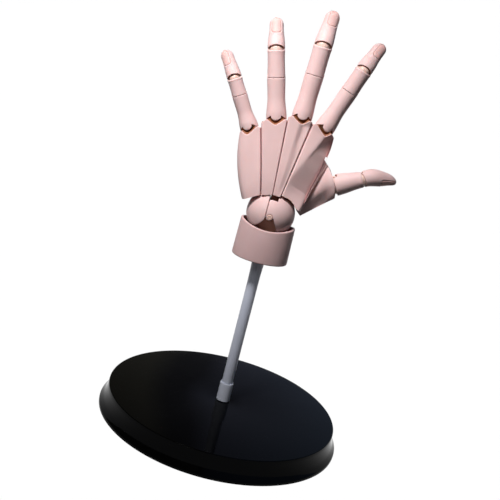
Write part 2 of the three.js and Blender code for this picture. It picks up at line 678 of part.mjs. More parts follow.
// Two wrist pins, one from the back and one from the palm side, and the cross axle.
for (const [name, side] of [["wrist_pin_back", -1], ["wrist_pin_palm", 1]]) {
  const from = centre.clone().setY(side * (STEM_DISC_INNER + WRIST_PIN_PROUD));
  const to = centre.clone().setY(side * (BALL_RADIUS + WRIST_PIN_PROUD));
  add(name, bar(from, to, WRIST_PIN_RADIUS, 16), JOINT);
}
const axleHalf = WRIST_AXLE_HALF_LENGTH;
add("wrist_axle", crossBar(-axleHalf, axleHalf, ballHeight, WRIST_AXLE_RADIUS, 14), STEEL);

// Palm core: round eye on the wrist axle and a flat tongue that reaches up between the metacarpals.
const eye = crossBar(-TONGUE_HALF_WIDTH, TONGUE_HALF_WIDTH, ballHeight, TONGUE_EYE_RADIUS, 14);
const tongue = new THREE.BoxGeometry(2 * TONGUE_HALF_WIDTH, 2 * TONGUE_HALF_DEPTH, TONGUE_LENGTH);
tongue.translate(0, 0, ballHeight + TONGUE_LENGTH / 2);
const palmBore = crossBar(PALM_AXLE_LEFT - AXLE_END_GAP, PALM_AXLE_RIGHT + AXLE_END_GAP, palmAxleHeight,
  PALM_AXLE_RADIUS + BORE_GAP, 12);
const axleClear = crossBar(-axleSpace, axleSpace, ballHeight, WRIST_AXLE_RADIUS + BORE_GAP, 14);
const core = solid(eye).add(solid(tongue)).subtract(solid(axleClear)).subtract(solid(palmBore));
add("palm_core", surface(core), INNER);
add("palm_axle", crossBar(PALM_AXLE_LEFT, PALM_AXLE_RIGHT, palmAxleHeight, PALM_AXLE_RADIUS, 12), STEEL);

// Thumb axle: a rod beside the index metacarpal that the thumb base turns on.
const axleFrame = handFrame(THUMB_AXLE_X, THUMB_AXLE_DEPTH, ballHeight + THUMB_AXLE_RISE, THUMB_AXLE_LEAN);
const axleEnd = THUMB_AXLE_START + THUMB_AXLE_LENGTH;
function onAxle(from, to, radius, sides) {
  return bar(at(axleFrame, from, 0, 0), at(axleFrame, to, 0, 0), radius, sides);
}
function besideAxle(from, to, left, right, nearDepth, farDepth) {
  const box = new THREE.BoxGeometry(right - left, farDepth - nearDepth, to - from);
  box.translate((left + right) / 2, (nearDepth + farDepth) / 2, (from + to) / 2);
  box.rotateY(THUMB_AXLE_LEAN * RAD);
  return box.translate(axleFrame.origin.x, axleFrame.origin.y, axleFrame.origin.z);
}
const thumbBore = onAxle(
  THUMB_AXLE_START - AXLE_END_GAP, axleEnd + AXLE_END_GAP, THUMB_AXLE_RADIUS + BORE_GAP, 10,
);

// Metacarpals: wedges with flat seams, an open socket at the knuckle and a hollow round the wrist ball.
const METACARPAL_SIDES = 16;
function wristRoom(gap) {
  return solid(ball(centre, BALL_RADIUS + gap, 18, 12));
}
const pocketDepth = 2 * (TONGUE_HALF_DEPTH + TONGUE_DEPTH_GAP);
const corePocket = new THREE.BoxGeometry(2 * slotHalfWidth, pocketDepth, 2 * BALL_RADIUS);
corePocket.translate(0, 0, tongueTop + TONGUE_END_GAP - BALL_RADIUS);
function knuckleFrame(finger) {
  return handFrame(finger.knuckleX, finger.depth, ballHeight + finger.knuckleRise, finger.lean);
}
function knuckleSeat(finger) {
  return finger.baseHalf - KNUCKLE_SEAT_WALL;
}
// Lines of a metacarpal's two side edges, from the wrist to the knuckle, half a seam inside its bounds.
function metacarpalEdges(finger, t) {
  const f = knuckleFrame(finger);
  const bow = 4 * t * (1 - t);
  const left = new THREE.Vector3(finger.wristLeftX, 0, ballHeight + finger.wristLeftRise);
  const right = new THREE.Vector3(finger.wristRightX, 0, ballHeight + finger.wristRightRise);
  left.lerp(at(f, -KNUCKLE_CORNER_DROP, -finger.reachLeft, 0), t);
  right.lerp(at(f, -KNUCKLE_CORNER_DROP, finger.reachRight, 0), t);
  left.x += finger.bulgeLeft * bow + PALM_SEAM / 2;
  right.x += finger.bulgeRight * bow - PALM_SEAM / 2;
  return [left, right];
}
function middleOf(points) {
  return points.reduce((sum, p) => sum.add(p), new THREE.Vector3()).divideScalar(points.length);
}
function power(value, exponent) {
  return Math.sign(value) * Math.abs(value) ** exponent;
}
function metacarpal(finger) {
  const f = knuckleFrame(finger);
  const seat = knuckleSeat(finger);
  const angles = Array.from({ length: METACARPAL_SIDES }, (_, i) => (2 * Math.PI * i) / METACARPAL_SIDES);
  const endBack = seat + KNUCKLE_BACK_WALL;
  const endFront = seat + KNUCKLE_PALM_WALL;
  const knuckleRim = (p) => {
    const aside = Math.abs(p.w) / (finger.baseHalf + 1);
    if (p.n > 0) {
      const open = Math.max(0, 1 - aside ** 2);
      const drop = mix(KNUCKLE_EDGE_DROP, KNUCKLE_NOTCH_DROP, open ** 0.8);
      return -drop - KNUCKLE_SIDE_DROP * Math.max(0, 1 - p.n / KNUCKLE_SIDE_DEPTH);
    }
    return Math.min(-KNUCKLE_CHEEK_DROP - KNUCKLE_CORNER_DROP, p.n / Math.tan(KNUCKLE_CUT * RAD));
  };
  const ringAt = (t) => angles.map((a) => {
    const [left, right] = metacarpalEdges(finger, t);
    const middle = left.clone().add(right).multiplyScalar(0.5);
    const reach = right.clone().sub(left).multiplyScalar(0.5);
    const outer = (finger === LITTLE && Math.sin(a) < 0) || (finger === INDEX && Math.sin(a) > 0);
    const square = outer ? OUTER_SQUARENESS : SEAM_SQUARENESS;
    const across = power(Math.sin(a), 2 / square);
    const deep = power(Math.cos(a), 2 / square);
    const back = eased(PALM_BACK_DEPTH, endBack, t);
    const front = eased(PALM_FRONT_DEPTH, endFront, t);
    const p = middle.addScaledVector(reach, across);
    p.y = finger.depth * t - deep * (deep > 0 ? back : front);
    return p;
  });
  const local = (p) => {
    const d = p.clone().sub(f.origin);
    return { s: d.dot(f.along), w: d.dot(f.across), n: d.dot(f.back) };
  };
  const last = ringAt(1).map((p) => {
    const q = local(p);
    return { s: knuckleRim(q), w: q.w, n: q.n };
  });
  const boreDepth = KNUCKLE_PIN_BELOW + KNUCKLE_NECK_FOOT + KNUCKLE_FOOT_GAP;
  const seatRows = seatRings(f, 0, -1, last, seat, KNUCKLE_NECK_RADIUS + KNUCKLE_NECK_GAP, boreDepth, 2);
  const levels = [0, 0.2, 0.5, 0.85];
  const wristEnd = ringAt(0);
  let rings = [[middleOf(wristEnd)]].concat(levels.map(ringAt));
  rings.push(last.map((q) => at(f, q.s, q.w, q.n)));
  rings = rings.concat(seatRows.reverse());
  const folds = finger === LITTLE || finger === RING;
  const room = wristRoom(folds ? FOLD_SOCKET_GAP : SOCKET_GAP);
  let body = solid(loft(rings, false)).subtract(room).subtract(solid(palmBore));
  const pinFrom = at(f, -KNUCKLE_PIN_BELOW, 0, -PALM_FRONT_DEPTH);
  const pinTo = at(f, -KNUCKLE_PIN_BELOW, 0, KNUCKLE_PIN_BACK + AXLE_END_GAP);
  body = body.subtract(solid(bar(pinFrom, pinTo, KNUCKLE_PIN_RADIUS + KNUCKLE_PIN_GAP, 6)));
  if (finger === RING || finger === MIDDLE) {
    body = body.subtract(solid(corePocket));
  }
  if (finger === INDEX) {
    const turn = solid(onAxle(-BALL_RADIUS, THUMB_ROOM_TOP, THUMB_TURN_RADIUS + THUMB_TURN_GAP, 14))
      .add(solid(besideAxle(-BALL_RADIUS, THUMB_ROOM_TOP, 0, FAR, -THUMB_ROOM_BACK, FAR)))
      .add(solid(besideAxle(-BALL_RADIUS, THUMB_ROOM_TOP, -THUMB_ROOM_LEFT, FAR, THUMB_ROOM_PALM, FAR)));
    const r = THUMB_LUG_RADIUS;
    const lug = solid(onAxle(THUMB_LUG_FROM, THUMB_LUG_TO, r, 10))
      .add(solid(besideAxle(THUMB_LUG_FROM, THUMB_LUG_TO, -THUMB_LUG_ROOT, 0, -r, r)));
    body = body.subtract(turn.subtract(lug)).subtract(solid(thumbBore));
  }
  return surface(body);
}
FINGERS.forEach((finger) => add(`${finger.name}_metacarpal`, metacarpal(finger), SKIN));

// Knuckles: ball with a neck on a short pin, so the finger swings sideways, and trunnions for bending.
FINGERS.forEach((finger) => {
  const f = knuckleFrame(finger);
  const radius = knuckleSeat(finger) - LOBE_GAP - LOBE_WALL - BARREL_GAP;
  const neckFoot = at(f, -KNUCKLE_PIN_BELOW - KNUCKLE_NECK_FOOT, 0, 0);
  let body = solid(ball(f.origin, radius, 10, 6)).add(solid(bar(f.origin, neckFoot, KNUCKLE_NECK_RADIUS, 8)));
  body = body.add(solid(acrossPiece(f, 0, finger.baseHalf - KNUCKLE_TRUNNION_INSET, TRUNNION_RADIUS)));
  const pinFrom = at(f, -KNUCKLE_PIN_BELOW, 0, -KNUCKLE_PIN_PALM);
  const pinTo = at(f, -KNUCKLE_PIN_BELOW, 0, KNUCKLE_PIN_BACK);
  body = body.subtract(solid(bar(pinFrom, pinTo, KNUCKLE_PIN_RADIUS + KNUCKLE_PIN_GAP, 6)));
  add(`${finger.name}_knuckle_ball`, surface(body), JOINT);
  add(`${finger.name}_knuckle_pin`, bar(pinFrom, pinTo, KNUCKLE_PIN_RADIUS, 6), STEEL);
});

// Proximal phalanx: knuckle lobe between two V cuts, side cheeks on the trunnions, straight body above.
const PROXIMAL_SIDES = 16;
function proximal(finger) {
  const f = knuckleFrame(finger);
  const seat = knuckleSeat(finger);
  const lobe = seat - LOBE_GAP;
  const cup = lobe - LOBE_WALL;
  const b = finger.baseHalf;
  const p = finger.pipHalf;
  const L = finger.proximal;
  const skin = (s, a) => {
    const waist = p * 0.97;
    const body = s < L * 0.55 ? eased(b, waist, s / (L * 0.5)) : eased(waist, p, (s - L * 0.55) / (L * 0.4));
    const w = body * Math.sin(a);
    let n = body * 0.97 * Math.cos(a);
    const back = Math.cos(a);
    const side = Math.abs(Math.sin(a));
    if (back > 0 && side < 0.72 && s < LOBE_BLEND + 1) {
      const round = Math.sqrt(Math.max(1, lobe * lobe - Math.min(s, 0) ** 2 - (lobe * Math.sin(a)) ** 2));
      const ease = s < 1 ? 0 : (s - 1) / LOBE_BLEND;
      n = eased(round, n, ease);
      return [mix(lobe * Math.sin(a), w, Math.min(1, Math.max(0, ease))), n];
    }
    return [w, n];
  };
  const low = (a) => {
    const degrees = Math.abs(((a / RAD + 180) % 360) - 180);
    if (degrees < LOBE_ANGLE) {
      return -mix(LOBE_DROP, LOBE_SIDE_DROP, (degrees / 30) ** 2);
    }
    if (degrees < V_CUT_ANGLE) {
      return V_CUT_RISE;
    }
    if (degrees < KNUCKLE_CHEEK_ANGLE) {
      return mix(KNUCKLE_CHEEK_BACK, -KNUCKLE_CHEEK_DROP, (degrees - V_CUT_ANGLE) / (90 - V_CUT_ANGLE));
    }
    if (degrees < 180 - KNUCKLE_CHEEK_ANGLE) {
      return -KNUCKLE_CHEEK_DROP;
    }
    if (degrees < 110) {
      return -KNUCKLE_CHEEK_DROP + KNUCKLE_CHEEK_STEP;
    }
    return (b * Math.abs(Math.cos(a))) / Math.tan(KNUCKLE_CUT * RAD) + KNUCKLE_CUT_RISE;
  };
  const pipSeat = p - BARREL_WALL;
  const high = (a) => L + rimBelow(p * Math.cos(a), CHEEK_RADIUS, MIDDLE_JOINT_CUT);
  const geometry = fingerPiece(f, PROXIMAL_SIDES, [0, 0.1, 0.28, 0.6, 1], skin,
    { rim: low, seat: cup, bore: 0, depth: cup, steps: 3 },
    { rim: high, centre: L, seat: pipSeat, bore: 0, depth: pipSeat });
  const knuckleHole = trunnionHole(f, 0, b, KNUCKLE_TRUNNION_INSET);
  return surface(solid(geometry).subtract(knuckleHole).subtract(trunnionHole(f, L, p, TRUNNION_INSET)));
}

// Middle phalanx: plain sleeve between two hinges. A short one leaves less depth for the stem of its barrel.
const PHALANX_SIDES = 14;
function middleStem(finger) {
  const room = finger.middle - (finger.dipHalf - BARREL_WALL) - STEM_FLOOR;
  return Math.min(finger.pipHalf - BARREL_WALL + STEM_DEPTH, room);
}
function middlePhalanx(finger, f) {
  const p = finger.pipHalf;
  const d = finger.dipHalf;
  const L = finger.middle;
  const skin = (s, a) => {
    const body = mix(p, d, s / L) * (1 - 0.035 * Math.sin(Math.PI * Math.min(1, Math.max(0, s / L))));
    return [body * Math.sin(a), body * 0.97 * Math.cos(a)];
  };
  const pipSeat = p - BARREL_WALL;
  const dipSeat = d - BARREL_WALL;
  const stemDepth = middleStem(finger);
  const low = (a) => rimAbove(p * Math.cos(a), p, CHEEK_RADIUS, MIDDLE_JOINT_CUT, 0);
  const high = (a) => L + rimBelow(d * Math.cos(a), CHEEK_RADIUS, END_JOINT_CUT);
  const geometry = fingerPiece(f, PHALANX_SIDES, [0, 0.5, 1], skin,
    { rim: low, seat: pipSeat, bore: STEM_RADIUS + BORE_GAP, depth: stemDepth },
    { rim: high, centre: L, seat: dipSeat, bore: 0, depth: dipSeat });
  return surface(solid(geometry).subtract(trunnionHole(f, L, d, TRUNNION_INSET)));
}

// Distal phalanx: rounded tip, flatter at the back where the nail lies.
function distalPhalanx(finger, f) {
  const d = finger.dipHalf;
  const L = finger.distal;
  const skin = (s, a) => {
    const t = Math.min(1, Math.max(0, s / L));
    const body = eased(d, finger.tipHalf, (t - 0.1) / 0.6);
    const round = Math.sqrt(Math.max(0, 1 - Math.max(0, (t - 0.76) / 0.24) ** 2));
    const back = Math.cos(a) > 0 ? mix(0.97, 0.84, t) : mix(0.97, 1.02, t);
    return [body * round * Math.sin(a), body * round * back * Math.cos(a) - 0.5 * t * t];
  };
  const seat = d - BARREL_WALL;
  const low = (a) => rimAbove(d * Math.cos(a), d, CHEEK_RADIUS, END_JOINT_CUT, END_JOINT_ARCH);
  return fingerPiece(f, PHALANX_SIDES, [0, 0.3, 0.6, 0.79, 0.92], skin,
    { rim: low, seat, bore: STEM_RADIUS + BORE_GAP, depth: seat + STEM_DEPTH },
    { tip: L });
}

FINGERS.forEach((finger) => {
  const pip = bent(knuckleFrame(finger), finger.proximal, 0);
  const dip = bent(pip, finger.middle, END_JOINT_REST);
  const pipBall = finger.pipHalf - BARREL_WALL - BARREL_GAP;
  const dipBall = finger.dipHalf - BARREL_WALL - BARREL_GAP;
  const dipStem = finger.dipHalf - BARREL_WALL + STEM_DEPTH - STEM_END_GAP;
  const pipBarrel = barrel(pip, pipBall, finger.pipHalf - TRUNNION_INSET, middleStem(finger) - STEM_END_GAP);
  add(`${finger.name}_proximal`, proximal(finger), SKIN);
  add(`${finger.name}_pip_barrel`, pipBarrel, JOINT);
  add(`${finger.name}_middle`, middlePhalanx(finger, pip), SKIN);
  add(`${finger.name}_dip_barrel`, barrel(dip, dipBall, finger.dipHalf - TRUNNION_INSET, dipStem), JOINT);
  add(`${finger.name}_distal`, distalPhalanx(finger, dip), SKIN);
});

// Thumb base piece: a broad wedge that turns on the thumb axle, with a hinge seat for the thumb at its end.
const thumbJoint = handFrame(THUMB.jointX, THUMB_DEPTH, ballHeight + THUMB.jointRise, THUMB_ANGLE);
const thumbStart = rolled(thumbJoint, THUMB_ROLL);
const thumbSeat = THUMB.baseHalf - THUMB_SEAT_WALL;
const THENAR_SIDES = 18;
function thenar() {
  const f = thumbStart;
  const angles = Array.from({ length: THENAR_SIDES }, (_, i) => (2 * Math.PI * i) / THENAR_SIDES);
  const hiddenStart = new THREE.Vector3(THENAR.hiddenStartX, 0, ballHeight + THENAR.hiddenStartRise);
  const hiddenEnd = new THREE.Vector3(THENAR.hiddenEndX, 0, ballHeight + THENAR.hiddenEndRise);
  const openStart = new THREE.Vector3(THENAR.openStartX, 0, ballHeight + THENAR.openStartRise);
  const openEnd = new THREE.Vector3(THENAR.openEndX, 0, ballHeight + THENAR.openEndRise);
  const outward = new THREE.Vector3(Math.sin(THUMB_ANGLE * RAD), 0, Math.cos(THUMB_ANGLE * RAD));
  const ringAt = (t) => angles.map((a) => {
    const left = hiddenStart.clone().lerp(hiddenEnd, t);
    const right = openStart.clone().lerp(openEnd, t);
    const middle = left.clone().add(right).multiplyScalar(0.5);
    const reach = right.clone().sub(left).multiplyScalar(0.5);
    const halfDepth = eased(THENAR.startHalfDepth, THENAR.endHalfDepth, t);
    const across = power(Math.sin(a), THENAR.roundness);
    const deep = power(Math.cos(a), THENAR.roundness);
    const p = middle.addScaledVector(reach, across);
    p.addScaledVector(outward, THENAR.endBulge * t * t * (1 - across * across));
    const thin = across < 0 ? 1 - THENAR.thinning * across * across * t : 1;
    p.y = mix(THENAR.startDepth, THUMB_DEPTH, t) - halfDepth * deep * thin;
    return p;
  });
  const last = ringAt(1).map((p) => {
    const d = p.clone().sub(f.origin);
    const w = d.dot(f.across);
    const n = d.dot(f.back);
    const inner = Math.abs(w) < THUMB.baseHalf + THENAR.cornerReach;
    const limit = inner ? rimBelow(n, CHEEK_RADIUS, THUMB_BASE_CUT) : THENAR.webReach;
    return { s: Math.min(d.dot(f.along), limit), w, n };
  });
  const seatRows = seatRings(f, 0, -1, last, thumbSeat, 0, thumbSeat, 2);
  const first = ringAt(0);
  let rings = [[middleOf(first)], first, ringAt(0.3), ringAt(0.6), ringAt(0.84)];
  rings.push(last.map((q) => at(f, q.s, q.w, q.n)));
  rings = rings.concat(seatRows.reverse());
  return loft(rings, false);
}
const indexEdge = [0, 0.25, 0.5, 0.75, 1].map((t) => {
  const edge = metacarpalEdges(INDEX, t)[1];
  return [edge.x + THENAR_INDEX_GAP, edge.z];
});
const underIndex = plate([
  [-FAR, ballHeight - BALL_RADIUS], [indexEdge[0][0] - THENAR.tuck, ballHeight - BALL_RADIUS], ...indexEdge,
  [-FAR, ballHeight + INDEX.knuckleRise],
], -FAR, -THENAR.tuck);
const turnRoom = solid(besideAxle(-FAR, FAR, -FAR, 0, -FAR, FAR))
  .subtract(solid(onAxle(-2 * FAR, 2 * FAR, THUMB_TURN_RADIUS, 14)));
const lugFrom = THUMB_LUG_FROM - LUG_END_GAP;
const lugTo = THUMB_LUG_TO + LUG_END_GAP;
const lugRoom = solid(onAxle(lugFrom, lugTo, THUMB_LUG_RADIUS + LUG_GAP, 10))
  .add(solid(besideAxle(lugFrom, lugTo, -FAR, LUG_END_GAP, -FAR, FAR)));
const thumbHole = trunnionHole(thumbStart, 0, THUMB.baseHalf, TRUNNION_INSET);
const thenarBody = solid(thenar()).subtract(turnRoom).subtract(solid(underIndex)).subtract(lugRoom)
  .subtract(solid(thumbBore)).subtract(thumbHole).subtract(wristRoom(FOLD_SOCKET_GAP));
add("thumb_axle", onAxle(THUMB_AXLE_START, axleEnd, THUMB_AXLE_RADIUS, 10), STEEL);
add("thumb_base", surface(thenarBody), SKIN);

// Thumb phalanges with their barrels.
const thumbEnd = bent(thumbStart, THUMB.proximal, THUMB_END_REST);
function thumbProximal() {
  const L = THUMB.proximal;
  const skin = (s, a) => {
    const body = eased(THUMB.baseHalf, THUMB.ipHalf, s / L);
    return [body * Math.sin(a), body * Math.cos(a)];
  };
  const ipSeat = THUMB.ipHalf - BARREL_WALL;
  const low = (a) => rimAbove(THUMB.baseHalf * Math.cos(a), THUMB.baseHalf, CHEEK_RADIUS, THUMB_BASE_CUT, 0);
  const high = (a) => L + rimBelow(THUMB.ipHalf * Math.cos(a), CHEEK_RADIUS, THUMB_END_CUT);
  const geometry = fingerPiece(thumbStart, PHALANX_SIDES, [0, 0.5, 1], skin,
    { rim: low, seat: thumbSeat, bore: STEM_RADIUS + BORE_GAP, depth: thumbSeat + STEM_DEPTH },
    { rim: high, centre: L, seat: ipSeat, bore: 0, depth: ipSeat });
  return surface(solid(geometry).subtract(trunnionHole(thumbStart, L, THUMB.ipHalf, TRUNNION_INSET)));
}
function thumbDistal() {
  const L = THUMB.distal;
  const skin = (s, a) => {
    const t = Math.min(1, Math.max(0, s / L));
    const toBulb = eased(THUMB.ipHalf, THUMB.bulbHalf, t / 0.4);
    const toTip = eased(THUMB.bulbHalf, THUMB.tipHalf, (t - 0.4) / 0.5);
    const swell = t < 0.4 ? toBulb : toTip;
    const round = Math.sqrt(Math.max(0, 1 - Math.max(0, (t - 0.78) / 0.22) ** 2));
    const back = Math.cos(a) > 0 ? mix(1, 0.78, t) : 1;
    return [swell * round * Math.sin(a) + THUMB_CURVE * t ** 1.7, swell * round * back * Math.cos(a)];
  };
  const seat = THUMB.ipHalf - BARREL_WALL;
  const low = (a) => rimAbove(THUMB.ipHalf * Math.cos(a), THUMB.ipHalf, CHEEK_RADIUS, THUMB_END_CUT, 1);
  return fingerPiece(thumbEnd, PHALANX_SIDES, [0, 0.2, 0.42, 0.66, 0.82, 0.93], skin,
    { rim: low, seat, bore: STEM_RADIUS + BORE_GAP, depth: seat + STEM_DEPTH },
    { tip: L });
}
const ipSeat = THUMB.ipHalf - BARREL_WALL;
const mcpStem = thumbSeat + STEM_DEPTH - STEM_END_GAP;
const ipStem = ipSeat + STEM_DEPTH - STEM_END_GAP;
const mcpBarrel = barrel(thumbStart, thumbSeat - BARREL_GAP, THUMB.baseHalf - TRUNNION_INSET, mcpStem);
add("thumb_mcp_barrel", mcpBarrel, JOINT);
add("thumb_proximal", thumbProximal(), SKIN);
add("thumb_ip_barrel", barrel(thumbEnd, ipSeat - BARREL_GAP, THUMB.ipHalf - TRUNNION_INSET, ipStem), JOINT);
add("thumb_distal", thumbDistal(), SKIN);

export default hand;
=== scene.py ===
# Posable left hand on a post and a round black base, a model for drawing from.
# Sizes are written in millimetres and go to Blender in metres, in the frame of the CAD solids.
import math

import bmesh
import bpy
import numpy as np
from mathutils import Matrix, Vector


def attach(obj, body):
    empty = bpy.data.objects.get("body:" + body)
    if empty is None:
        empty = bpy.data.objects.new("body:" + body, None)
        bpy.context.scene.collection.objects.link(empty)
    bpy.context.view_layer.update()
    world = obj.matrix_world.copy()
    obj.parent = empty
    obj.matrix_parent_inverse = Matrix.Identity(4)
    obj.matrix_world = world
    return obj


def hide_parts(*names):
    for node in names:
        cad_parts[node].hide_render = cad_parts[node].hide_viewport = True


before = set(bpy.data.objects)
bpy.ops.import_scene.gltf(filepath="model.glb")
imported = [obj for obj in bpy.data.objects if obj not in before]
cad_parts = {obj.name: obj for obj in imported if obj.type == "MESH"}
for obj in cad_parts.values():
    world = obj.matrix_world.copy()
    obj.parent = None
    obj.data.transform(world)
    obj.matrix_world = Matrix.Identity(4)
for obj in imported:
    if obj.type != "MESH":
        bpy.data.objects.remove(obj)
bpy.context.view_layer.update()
scene = bpy.context.scene
scene.view_settings.view_transform = "Standard"
MM = 0.001

# Base plate: a round board turned with a hollow flared wall above a thin lip, heavy enough to stand firm.
# It is sprayed with black lacquer and polished; underneath it has a recess for the screw head.
BASE_TOP_RADIUS = 95.9
BASE_LIP_RADIUS = 101.0
BASE_HEIGHT = 18.0
BASE_LIP_HEIGHT = 2.6
POST_HOLE_RADIUS = 4.85
SCREW_RECESS_RADIUS = 9.5
SCREW_RECESS_DEPTH = 4.2
SHARP_EDGE = math.radians(40)


def softened(corners):
    """The (radius, height, edge) corners of a profile as points, each corner rounded over its edge length."""
    path = []
    for i, (r, z, edge) in enumerate(corners):
        here = np.array((r, z))
        if edge == 0:
            path.append(here)
            continue
        before = np.array(corners[i - 1][:2]) - here
        after = np.array(corners[(i + 1) % len(corners)][:2]) - here
        start = here + before * min(0.48, edge / np.linalg.norm(before))
        end = here + after * min(0.48, edge / np.linalg.norm(after))
        for t in np.linspace(0, 1, 6):
            path.append((1 - t) ** 2 * start + 2 * t * (1 - t) * here + t * t * end)
    return path


def lofted(name, rows, looped=False, inside=(), capped=False):
    """A closed mesh stretched over rows of points. The spans named in inside take the second material, a dark
    brown of painted shade.
    """
    points = np.concatenate(rows)
    starts = np.cumsum([0] + [len(row) for row in rows])
    faces = []
    finish_of = []
    for k in range(len(rows) if looped else len(rows) - 1):
        m = (k + 1) % len(rows)
        a, b = starts[k], starts[m]
        first = len(faces)
        count = max(len(rows[k]), len(rows[m]))
        for i in range(count):
            j = (i + 1) % count
            if len(rows[k]) == 1:
                faces.append((a, b + j, b + i))
            elif len(rows[m]) == 1:
                faces.append((a + i, a + j, b))
            else:
                faces.append((a + i, a + j, b + j, b + i))
        finish_of += [1 if k in inside else 0] * (len(faces) - first)
    if capped:
        faces += [range(starts[1]), range(starts[-2], starts[-1])]
        finish_of += [0, 0]
    mesh = bpy.data.meshes.new(name)
    mesh.from_pydata((points * MM).tolist(), [], [tuple(int(v) for v in face) for face in faces])
    mesh.polygons.foreach_set("material_index", finish_of)
    work = bmesh.new()
    work.from_mesh(mesh)
    bmesh.ops.recalc_face_normals(work, faces=work.faces)
    work.to_mesh(mesh)
    work.free()
    mesh.shade_smooth()
    mesh.set_sharp_from_angle(angle=SHARP_EDGE)
    piece = bpy.data.objects.new(name, mesh)
    scene.collection.objects.link(piece)
    return piece


def level_ring(radius, height, sides):
    """A level ring of points round the post's line, or one point on that line where the radius is nothing."""
    if radius < 1e-6:
        return np.array([(0.0, 0.0, height)])
    turn = np.arange(sides) * 2 * np.pi / sides
    return np.stack([radius * np.cos(turn), radius * np.sin(turn), np.full(sides, float(height))], 1)


def turned(name, corners, sides, looped=False):
    """A body turned about the post's line from the corners of its half section."""
    return lofted(name, [level_ring(r, z, sides) for r, z in softened(corners)], looped)


class Finish:
    """A material with its shader, and with noise that sits still on the piece."""

    def __init__(self, name):
        self.material = bpy.data.materials.new(name)
        self.material.use_nodes = True
        self.nodes = self.material.node_tree.nodes
        self.links = self.material.node_tree.links
        self.shader = self.nodes["Principled BSDF"]
        self.place = self.nodes.new("ShaderNodeTexCoord")

    def noise(self, scale, detail, stretch=(1, 1, 1)):
        """Cloudy values about 0.5, finer the larger the scale."""
        spread = self.nodes.new("ShaderNodeMapping")
        spread.inputs["Scale"].default_value = stretch
        self.links.new(self.place.outputs["Object"], spread.inputs["Vector"])
        cloud = self.nodes.new("ShaderNodeTexNoise")
        cloud.inputs["Scale"].default_value = scale
        cloud.inputs["Detail"].default_value = detail
        self.links.new(spread.outputs["Vector"], cloud.inputs["Vector"])
        return cloud.outputs["Fac"]

    def mark(self, title):
        """A share stored on the points of the piece."""
        stored = self.nodes.new("ShaderNodeAttribute")
        stored.attribute_name = title
        return stored.outputs["Fac"]

    def edges(self):
        """A value that is higher the more an edge stands out."""
        return self.nodes.new("ShaderNodeNewGeometry").outputs["Pointiness"]

    def between(self, value, low, high, start=0.35, stop=0.65):
        """Spreads the values from start to stop over low to high."""
        span = self.nodes.new("ShaderNodeMapRange")
        span.inputs["From Min"].default_value = start
        span.inputs["From Max"].default_value = stop
        span.inputs["To Min"].default_value = low
        span.inputs["To Max"].default_value = high
        self.links.new(value, span.inputs["Value"])
        return span.outputs["Result"]

    def shades(self, value, *stops):
        """The colours of a value, from stops of a position and a colour."""
        ramp = self.nodes.new("ShaderNodeValToRGB")
        for element, (position, colour) in zip(ramp.color_ramp.elements, (stops[0], stops[-1])):
            element.position = position
            element.color = (*colour, 1)
        for position, colour in stops[1:-1]:
            ramp.color_ramp.elements.new(position).color = (*colour, 1)
        self.links.new(value, ramp.inputs["Fac"])
        return ramp.outputs["Color"]

    def over(self, share, under, colour):
        """Lays a colour over the one under it, by a share."""
        # A mix node's sockets share their names, so its colour sockets are told apart by number.
        mix = self.nodes.new("ShaderNodeMix")
        mix.data_type = "RGBA"
        mix.inputs[7].default_value = (*colour, 1)
        self.links.new(share, mix.inputs[0])
        self.links.new(under, mix.inputs[6])
        return mix.outputs[2]

    def relief(self, value, strength, depth):
        """Raises the surface where the value is high."""
        bump = self.nodes.new("ShaderNodeBump")
        bump.inputs["Strength"].default_value = strength
        bump.inputs["Distance"].default_value = depth
        self.links.new(value, bump.inputs["Height"])
        self.feed("Normal", bump.outputs["Normal"])

    def feed(self, socket, value):
        """Leads a value into a socket of the shader."""
        self.links.new(value, self.shader.inputs[socket])

    def set(self, socket, value):
        """Sets a socket of the shader."""
        self.shader.inputs[socket].default_value = value

    def take_shader(self, node):
        """Takes another shader in the place of the usual one."""
        self.nodes.remove(self.shader)
        self.links.new(node.outputs[0], self.nodes["Material Output"].inputs["Surface"])


def fit(piece, node, body, slot, *finishes):
    """Gives a piece its finishes and puts it in its CAD solid's place, on the body that it moves with."""
    for finish in finishes:
        piece.data.materials.append(finish)
    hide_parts(node)
    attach(piece, body)


finish = Finish("black_lacquer")
tone = finish.shades(finish.noise(14, 3), (0.3, (0.0022, 0.0024, 0.0032)), (0.7, (0.0042, 0.0048, 0.0066)))
finish.feed("Base Color", tone)
finish.feed("Roughness", finish.between(finish.noise(60, 4), 0.05, 0.1))
finish.relief(finish.noise(500, 2), 0.015, 0.0002)
finish.set("Specular IOR Level", 0.03)
lacquer = finish.material

base_plate = turned("base_plate_turned", [
    (POST_HOLE_RADIUS, SCREW_RECESS_DEPTH, 0), (SCREW_RECESS_RADIUS, SCREW_RECESS_DEPTH, 0),
    (SCREW_RECESS_RADIUS, 0, 0.4), (BASE_LIP_RADIUS, 0, 0.2), (BASE_LIP_RADIUS, BASE_LIP_HEIGHT - 0.8, 0.5),
    (BASE_LIP_RADIUS - 1.3, BASE_LIP_HEIGHT + 0.8, 1.0), (BASE_TOP_RADIUS + 1.9, BASE_LIP_HEIGHT + 3.8, 2.4),
    (BASE_TOP_RADIUS + 0.5, BASE_LIP_HEIGHT + 9.0, 3.2), (BASE_TOP_RADIUS, BASE_HEIGHT, 0.8),
    (POST_HOLE_RADIUS, BASE_HEIGHT, 0.3),
], 192, looped=True)
fit(base_plate, "base_plate", "base", "base_black", lacquer)

# Base screw: a pan-headed steel screw, driven from below through the plate into the foot of the post.
# Its head lies in the recess, so the plate stands flat.
SCREW_HEAD_TOP = SCREW_RECESS_DEPTH - 0.3
SCREW_HEAD_RADIUS = 8.0
SCREW_SHANK_RADIUS = 2.0
SCREW_END = 17.0

